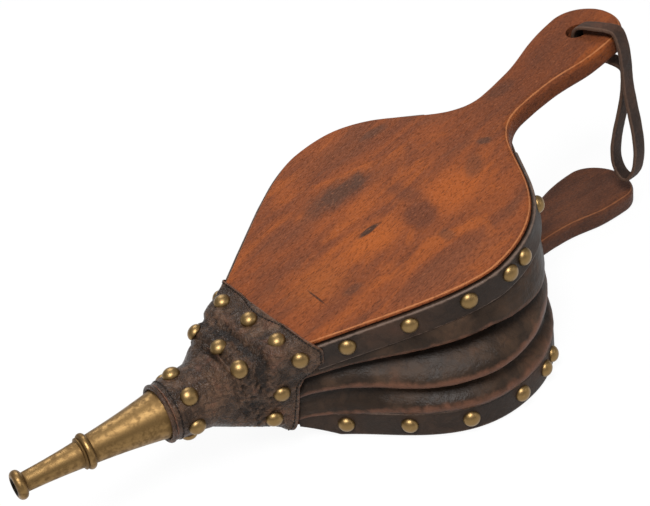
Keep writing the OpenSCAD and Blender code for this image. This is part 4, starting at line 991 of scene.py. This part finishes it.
# turned nozzle and the rolled welt round its root, both lathed on the nozzle's axis
nozzleForm = {
    "segments": 144, "spigotR": 9.0, "spigotL": 22.0, "spigotBore": 6.5, "baseR": 13.2, "seat": 0.3,
    "beadAt": 42.0, "beadMinor": 2.0, "coneEnd": 7.4, "stepR": 8.2, "stepL": 1.2, "slimR": 6.9, "tipR": 4.9, "tipAt": 72.7,
    "length": 78.5, "lipMinor": 2.4, "lipR": 7.4, "bore": 3.4, "flare": 1.0, "mouth": 14.0,
    "hollows": [(39.6, 1.3, 1.0), (44.3, 0.9, 0.9), (46.4, 1.6, 0.7), (73.0, 1.4, 0.8), (2.0, 4.0, 0.5)],  # place, width, dirt
    "boreShadeInside": 4.6, "boreShadeMark": 2.0, "coneWaist": 0.45, "slimWaist": 0.25, "sharpFrom": 50,
}
weltForm = {"minor": 1.3, "at": 1.1, "ring": 14.6, "segments": 160, "sides": 16, "rubbed": 0.4}


def inNozzle(points):  # local z runs along the nozzle to its tip
    p = np.asarray(points, float)
    w = nozzleFrame["tilt"] - math.pi / 2
    c, s = math.cos(w), math.sin(w)
    turned = np.stack([p[..., 0] * c + p[..., 2] * s, p[..., 1], -p[..., 0] * s + p[..., 2] * c], -1)
    return turned + nozzleFrame["start"]


def arcLine(z, r, radius, first, last, count):
    turns = np.radians(np.linspace(first, last, count))
    return [(r + radius * math.cos(w), z + radius * math.sin(w)) for w in turns]


def nozzleProfile(k):  # radius and place, from the spigot over the outside into the bore
    seat, base, bead, minor, cone = (k[n] for n in ("seat", "baseR", "beadAt", "beadMinor", "coneEnd"))
    step, slim, tip, tipAt, bore, end = (k[n] for n in ("stepR", "slimR", "tipR", "tipAt", "bore", "length"))
    shoulder = bead + minor
    neck = shoulder + k["stepL"]
    line = [(k["spigotBore"], -k["spigotL"]), (k["spigotR"], -k["spigotL"]), (k["spigotR"], seat)]
    line += [(base - 0.4, seat), (base, seat + 0.5)]
    for t in np.linspace(0.03, 0.985, 42):
        line.append((base + (cone - base) * t - k["coneWaist"] * math.sin(math.pi * t), seat + 0.5 + (bead - minor - 0.8) * t))
    line += [(cone - 0.15, bead - minor)] + arcLine(bead, cone, minor, -84, 84, 15)
    line += [(cone - 0.1, shoulder + 0.05), (step - 0.25, shoulder + 0.1), (step, shoulder + 0.35)]
    line += [(step, neck - 0.25), (step - 0.3, neck)]
    for t in np.linspace(0.01, 0.98, 30):
        line.append((slim + (tip - slim) * t - k["slimWaist"] * math.sin(math.pi * t), neck + (tipAt - neck) * t))
    line += [(tip - 0.05, tipAt + 0.3), (tip + 0.1, tipAt + 0.8)]
    line += arcLine(end - k["lipMinor"], k["lipR"] - k["lipMinor"], k["lipMinor"], -75, 85, 17)
    line += [(bore + k["flare"], end), (bore + 0.3, end - 0.5), (bore, end - k["flare"]), (bore, end - k["mouth"])]
    return np.array(line)


def lathe(name, profile, segments, closeProfile, hollow, rubbed=0.0):
    turns = np.linspace(0, 2 * math.pi, segments, endpoint=False)
    r, z = profile[:, 0][:, None], profile[:, 1][:, None]
    points = np.dstack([r * np.cos(turns), r * np.sin(turns), z + 0 * turns])
    faces = gridFaces(len(profile), segments, closeProfile, True)
    masks = {"grime": np.repeat(hollow[:, None], segments, 1), "wear": np.full(points.shape[:2], rubbed)}
    return faceOut(addMesh(name, inNozzle(points), faces, **masks), nozzleForm["sharpFrom"])


nozzleLine = nozzleProfile(nozzleForm)
hollow = np.clip(sum(darkening * bump(nozzleLine[:, 1], at, width) for at, width, darkening in nozzleForm["hollows"]), 0, 1)
# painted shade: the inside of the bore is marked past the shade band, so it renders near black
hollow[nozzleLine[:, 0] < nozzleForm["boreShadeInside"]] = nozzleForm["boreShadeMark"]
nozzle = lathe("nozzle_turned", nozzleLine, nozzleForm["segments"], True, hollow)
nozzle.data.materials.append(nozzleMat)
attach(nozzle, "base")
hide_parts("nozzle")

weltTurns = np.linspace(0, 2 * math.pi, weltForm["sides"], endpoint=False)
weltLine = np.column_stack([np.cos(weltTurns), np.sin(weltTurns)]) * weltForm["minor"] + (weltForm["ring"], weltForm["at"])
welt = lathe("wrap_welt_leather", weltLine, weltForm["segments"], True, np.zeros(weltForm["sides"]), weltForm["rubbed"])
welt.data.materials.append(wrapMat)
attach(welt, "base")
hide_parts("wrap_welt")
print("nozzle and welt lathed")

# domed nails, set by one node tree on points that carry their facing direction
nailForm = {"radius": 4.7, "height": 3.7, "sunk": 1.2, "tilt": 5.0, "seed": 7, "baseSeed": 19, "stripOut": 2.2}
nailRows = {
    "upper": {"first": 29.0, "pitch": 33.0, "steps": (0, 0.985, 1.92, 2.64, 2.985, 4.06), "z": -9.2},
    "lower": {"first": 25.0, "pitch": 33.5, "steps": (0.015, 1.03, 1.97, 2.88, 3.52, 3.86), "z": 9.75},
}


def newTree(name, inputs):
    tree = bpy.data.node_groups.new(name, "GeometryNodeTree")
    tree.interface.new_socket("Geometry", in_out="INPUT", socket_type="NodeSocketGeometry")
    ids = {}
    for label, kind in inputs.items():
        ids[label] = tree.interface.new_socket(label, in_out="INPUT", socket_type="NodeSocket" + kind).identifier
    tree.interface.new_socket("Geometry", in_out="OUTPUT", socket_type="NodeSocketGeometry")
    return tree, ids, tree.nodes.new("NodeGroupInput").outputs, tree.nodes.new("NodeGroupOutput").inputs


def makeReal(tree, outs, copies, finish):  # instances become a smooth mesh with its material
    real = addNode(tree, "GeometryNodeRealizeInstances", {"Geometry": copies}).outputs[0]
    even = addNode(tree, "GeometryNodeSetShadeSmooth", {"Geometry": real}).outputs[0]
    feed(tree, outs["Geometry"], addNode(tree, "GeometryNodeSetMaterial", {"Geometry": even, "Material": finish}).outputs[0])


def makeNailTree():
    tree, ids, ins, outs = newTree("domedNails", {"Head Radius": "Float", "Head Height": "Float", "Sunk": "Float",
                                                  "Tilt": "Float", "Seed": "Int", "Finish": "Material"})
    ball = addNode(tree, "GeometryNodeMeshUVSphere", {"Segments": 28, "Rings": 18, "Radius": 1.0}).outputs["Mesh"]
    place = addNode(tree, "ShaderNodeSeparateXYZ", {0: tree.nodes.new("GeometryNodeInputPosition").outputs[0]}).outputs
    upper = maths(tree, "MULTIPLY", maths(tree, "MAXIMUM", place["Z"], 0.0), ins["Head Height"])
    lower = maths(tree, "MULTIPLY", maths(tree, "MINIMUM", place["Z"], 0.0), ins["Sunk"])
    sides = {axis: maths(tree, "MULTIPLY", place[axis], ins["Head Radius"]) for axis in "XY"}
    dome = addNode(tree, "ShaderNodeCombineXYZ", dict(sides, Z=maths(tree, "ADD", upper, lower))).outputs[0]
    head = addNode(tree, "GeometryNodeSetPosition", {"Geometry": ball, "Position": dome}).outputs[0]
    # darker towards the rim: tarnish and painted shade where the head meets the leather
    rim = between(tree, place["Z"], 0.55, 0.05)
    head = addNode(tree, "GeometryNodeStoreNamedAttribute", {"Geometry": head, "Name": "grime", "Value": rim},
                   data_type="FLOAT", domain="POINT").outputs[0]
    facing = addNode(tree, "GeometryNodeInputNamedAttribute", {"Name": "facing"}, data_type="FLOAT_VECTOR").outputs[0]
    turn = addNode(tree, "FunctionNodeAlignRotationToVector", {"Vector": facing}, axis="Z").outputs[0]
    lowest = maths(tree, "MULTIPLY", ins["Tilt"], -1.0)
    draws = []
    for low, high, step in ((lowest, ins["Tilt"], 0.0), (lowest, ins["Tilt"], 11.0), (0.0, 6.28, 5.0)):
        inputs = {2: low, 3: high, 8: maths(tree, "ADD", ins["Seed"], step)}
        draws.append(addNode(tree, "FunctionNodeRandomValue", inputs, data_type="FLOAT").outputs[1])
    jog = addNode(tree, "ShaderNodeCombineXYZ", dict(zip("XYZ", draws))).outputs[0]
    turned = addNode(tree, "FunctionNodeRotateRotation", {0: turn, 1: jog}, rotation_space="LOCAL").outputs[0]
    inputs = {"Points": ins["Geometry"], "Instance": head, "Rotation": turned}
    makeReal(tree, outs, addNode(tree, "GeometryNodeInstanceOnPoints", inputs).outputs[0], ins["Finish"])
    return tree, ids


def runTree(obj, tree, ids, values):  # inputs are set by identifier before the first evaluation
    made = obj.modifiers.new("nodes", "NODES")
    made.node_group = tree
    for label, value in values.items():
        made[ids[label]] = value
    return freeze(obj)


nailTree, nailIds = makeNailTree()


def setNails(name, places, facings, body, nodes, k):
    obj = addMesh(name, places, [])
    layer = obj.data.attributes.new("facing", "FLOAT_VECTOR", "POINT")
    layer.data.foreach_set("vector", np.asarray(facings, np.float32).ravel())
    runTree(obj, nailTree, nailIds, {"Head Radius": k["radius"] * mm, "Head Height": k["height"] * mm, "Sunk": k["sunk"] * mm,
                                     "Tilt": math.radians(k["tilt"]), "Seed": k["seed"], "Finish": nailMat})
    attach(obj, body)
    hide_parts(*nodes)
    return obj


def rowNails(b, lead, row, upper):
    half = halfPath(b, lead, stripForm["counts"])[:sum(stripForm["counts"][:2]) + 1]
    run = runOf(half)
    at = row["first"] + row["pitch"] * np.array(row["steps"])
    normals = lineNormals(half * (1, -1))
    spots = np.stack([np.interp(at, run, half[:, c]) for c in (0, 1)], 1) * (1, -1)
    facing = unit(np.stack([np.interp(at, run, normals[:, c]) for c in (0, 1)], 1))
    spots = spots + facing * nailForm["stripOut"]
    spots, facing = np.vstack([spots, spots * (1, -1)]), np.vstack([facing, facing * (1, -1)])
    place = np.column_stack([spots, np.full(len(spots), row["z"])])
    facing = np.column_stack([facing, np.zeros(len(facing))])
    if upper:
        return fromTop(place), fromTop(facing) - hinge
    return place + (baseFront, 0, 0), facing


def onWrap(target):  # nearest place on the wrap and its direction
    flat = wrapPoints.reshape(-1, 3)
    i = np.argmin(np.linalg.norm(flat - np.asarray(target), axis=1))
    row, col = divmod(i, wrapPoints.shape[1])
    rows, cols = wrapNails["around"]
    near = wrapNormals[max(row - rows, 0):row + rows + 1, max(col - cols, 0):col + cols + 1].reshape(-1, 3).mean(0)
    return flat[i], unit(near)


def ringPoint(u, angle):  # on the round part of the wrap
    g = wrapStation(wrapForm, u)[0]
    c, a = int(angle // 90) % 4, math.radians(angle)
    hh = (g[2] - g[3]) / 2
    sy, sz, r = (1 if c in (0, 3) else -1), (1 if c < 2 else -1), min(g[5], hh)
    v = sz * (hh - r) + r * math.sin(a)
    share = (v / hh + 1) / 2
    wide = g[6] + (g[4] - g[6]) * share
    return g[1] + (g[0] - g[1]) * share, sy * (wide - g[5]) + r * math.cos(a), (g[2] + g[3]) / 2 + v


def wallPoint(u, z, side):
    g = wrapStation(wrapForm, u)[0]
    share = (z - g[3]) / (g[2] - g[3])
    return np.array([g[1] + (g[0] - g[1]) * share, side * (g[6] + (g[4] - g[6]) * share), z])


wrapNails = {
    "board": [(23.0, -25.0, 3.8), (23.0, 0.0, 3.8), (23.0, 25.0, 3.8)], "flank": (4 / 31, -7.0, 2.0), "flankAlong": 27.0,
    "ring": (2.5, 15, 60), "crease": (0.97, 40), "creaseMid": (2.0, -2.0, 3.3),
    "wall": [(0.42, 44.94), (0.6, 28.56)], "below": (0.8, 9.25),  # station and height, station and half width
    "around": (6, 4),
}


def wrapTargets(k):
    bothHands = (-1, 1)
    at, down, out = k["flank"]
    high = fromTop(np.array([k["flankAlong"], 0, down]))[2]
    board = [fromTop(np.array(p)) for p in k["board"]]
    board += [wallPoint(at, high, side) + np.array([0, out * side, 0]) for side in bothHands]
    at, first, step = k["ring"]
    block = [ringPoint(at, first + step * i) for i in range(6)]
    block += [ringPoint(k["crease"][0], 90 + side * k["crease"][1]) for side in bothHands]
    block += [fromTop(np.array(k["creaseMid"]))]
    block += [wallPoint(u, z, side) for u, z in k["wall"] for side in bothHands]
    under = wrapStation(wrapForm, k["below"][0])[0]
    block += [(under[1], side * k["below"][1], under[3]) for side in bothHands]
    return board, block


boardTargets, blockTargets = wrapTargets(wrapNails)
lidPlaces, lidFacing = rowNails(topBoardShape, leatherLine["topLead"], nailRows["upper"], True)
basePlaces, baseFacing = rowNails(baseBoardShape, leatherLine["baseLead"], nailRows["lower"], False)
boardSpots, blockSpots = [onWrap(p) for p in boardTargets], [onWrap(p) for p in blockTargets]
setNails("lid_nails", np.vstack([lidPlaces] + [p for p, n in boardSpots]), np.vstack([lidFacing] + [n for p, n in boardSpots]),
         "lid", ("upper_strip_nails", "wrap_board_nails"), nailForm)
setNails("base_nails", np.vstack([basePlaces] + [p for p, n in blockSpots]), np.vstack([baseFacing] + [n for p, n in blockSpots]),
         "base", ("lower_strip_nails", "wrap_block_nails"), dict(nailForm, seed=nailForm["baseSeed"]))
print("nails: %d on the lid, %d on the base" % (len(lidPlaces) + len(boardSpots), len(basePlaces) + len(blockSpots)))

# stitches beside the wrap's rear edge and round the welt
stitchForm = {"pitch": 2.4, "length": 1.7, "width": 0.75, "lift": 0.1}


def makeStitchTree():
    tree, ids, ins, outs = newTree("stitches", {"Pitch": "Float", "Length": "Float", "Width": "Float", "Finish": "Material"})
    curve = addNode(tree, "GeometryNodeMeshToCurve", {"Mesh": ins["Geometry"]}).outputs[0]
    spots = addNode(tree, "GeometryNodeCurveToPoints", {"Curve": curve, "Length": ins["Pitch"]}, mode="LENGTH").outputs
    turn = addNode(tree, "FunctionNodeAlignRotationToVector", {"Vector": spots["Tangent"]}, axis="X").outputs[0]
    bead = addNode(tree, "GeometryNodeMeshIcoSphere", {"Radius": 0.5, "Subdivisions": 1}).outputs[0]
    size = addNode(tree, "ShaderNodeCombineXYZ", {"X": ins["Length"], "Y": ins["Width"], "Z": ins["Width"]}).outputs[0]
    thread = addNode(tree, "GeometryNodeTransform", {"Geometry": bead, "Scale": size}).outputs[0]
    inputs = {"Points": spots["Points"], "Instance": thread, "Rotation": turn}
    makeReal(tree, outs, addNode(tree, "GeometryNodeInstanceOnPoints", inputs).outputs[0], ins["Finish"])
    return tree, ids


stitchTree, stitchIds = makeStitchTree()


def sew(name, seam, k):  # round the wrap at one station
    row = int(np.argmin(np.abs(wrapU - seam)))
    line = wrapPoints[row] + wrapNormals[row] * k["lift"]
    line = np.vstack([line, line[:1]])
    obj = addMesh(name, line, [], [(i, i + 1) for i in range(len(line) - 1)])
    return runTree(obj, stitchTree, stitchIds, {"Pitch": k["pitch"] * mm, "Length": k["length"] * mm, "Width": k["width"] * mm,
                                                "Finish": threadMat})


edgeStitches = sew("wrap_edge_stitches", wrapForm["rearSeam"], stitchForm)
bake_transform(edgeStitches)
frontStitches = sew("welt_stitches", wrapForm["frontSeam"], stitchForm)
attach(frontStitches, "base")
print("stitches sewn")

# carried-over inner pieces get their finishes
innerFinishes = {
    innerWoodMat: ("head_block", "valve_stiffener", "valve_cleat"), caneMat: ("gusset_hoop",),
    brownMat: ("valve_flap", "valve_keeper"), steelMat: ("block_screws", "nozzle_pins", "valve_tacks", "keeper_tacks"),
}
for material, names in innerFinishes.items():
    for name in names:
        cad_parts[name].data.materials.clear()
        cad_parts[name].data.materials.append(material)

# plain white floor and soft studio light
studio = {
    "floorSize": 16.0, "floorLow": -0.0002, "floorColor": (0.85, 0.85, 0.85, 1), "cleanShare": 0.94,
    "worldColor": (0.98, 0.99, 1.0, 1), "worldLight": 0.36, "aim": (-0.03, 0, 0.06),
    "lamps": [
        {"name": "key", "place": (-0.50, -0.45, 1.25), "size": 0.55, "power": 22.0},
        {"name": "fill", "place": (0.75, -0.95, 0.60), "size": 0.8, "power": 2.0},
        {"name": "back", "place": (0.25, 0.95, 0.95), "size": 0.7, "power": 7.0},
    ],
}


def makeStudio(k):
    s, z = k["floorSize"] / 2, k["floorLow"]
    mesh = bpy.data.meshes.new("floor")
    mesh.from_pydata([(-s, -s, z), (s, -s, z), (s, s, z), (-s, s, z)], [], [(0, 1, 2, 3)])
    floor = bpy.data.objects.new("floor", mesh)
    scene.collection.objects.link(floor)
    material = bpy.data.materials.new("white_floor")
    material.use_nodes = True
    tree = material.node_tree
    tree.nodes.clear()
    diffuse = addNode(tree, "ShaderNodeBsdfDiffuse", {"Color": k["floorColor"]})
    glow = addNode(tree, "ShaderNodeEmission", {"Color": (1, 1, 1, 1), "Strength": 1.0})
    ray = tree.nodes.new("ShaderNodeLightPath").outputs
    seen = maths(tree, "MAXIMUM", ray["Is Camera Ray"], ray["Is Glossy Ray"])
    seen = maths(tree, "MAXIMUM", seen, ray["Is Transmission Ray"])
    share = maths(tree, "MULTIPLY", seen, k["cleanShare"])
    both = addNode(tree, "ShaderNodeMixShader", {0: share, 1: diffuse.outputs[0], 2: glow.outputs[0]})
    tree.links.new(both.outputs[0], tree.nodes.new("ShaderNodeOutputMaterial").inputs[0])
    mesh.materials.append(material)
    world = bpy.data.worlds.new("studio")
    scene.world = world
    world.use_nodes = True
    ground = world.node_tree.nodes["Background"]
    ground.inputs[0].default_value, ground.inputs[1].default_value = k["worldColor"], k["worldLight"]
    for lamp in k["lamps"]:
        data = bpy.data.lights.new(lamp["name"], "AREA")
        data.shape, data.size, data.energy = "DISK", lamp["size"], lamp["power"]
        light = bpy.data.objects.new(lamp["name"], data)
        light.location = lamp["place"]
        light.rotation_euler = (Vector(k["aim"]) - Vector(lamp["place"])).to_track_quat("-Z", "Y").to_euler()
        scene.collection.objects.link(light)


makeStudio(studio)
scene.view_settings.view_transform = "Standard"
print("studio lit")
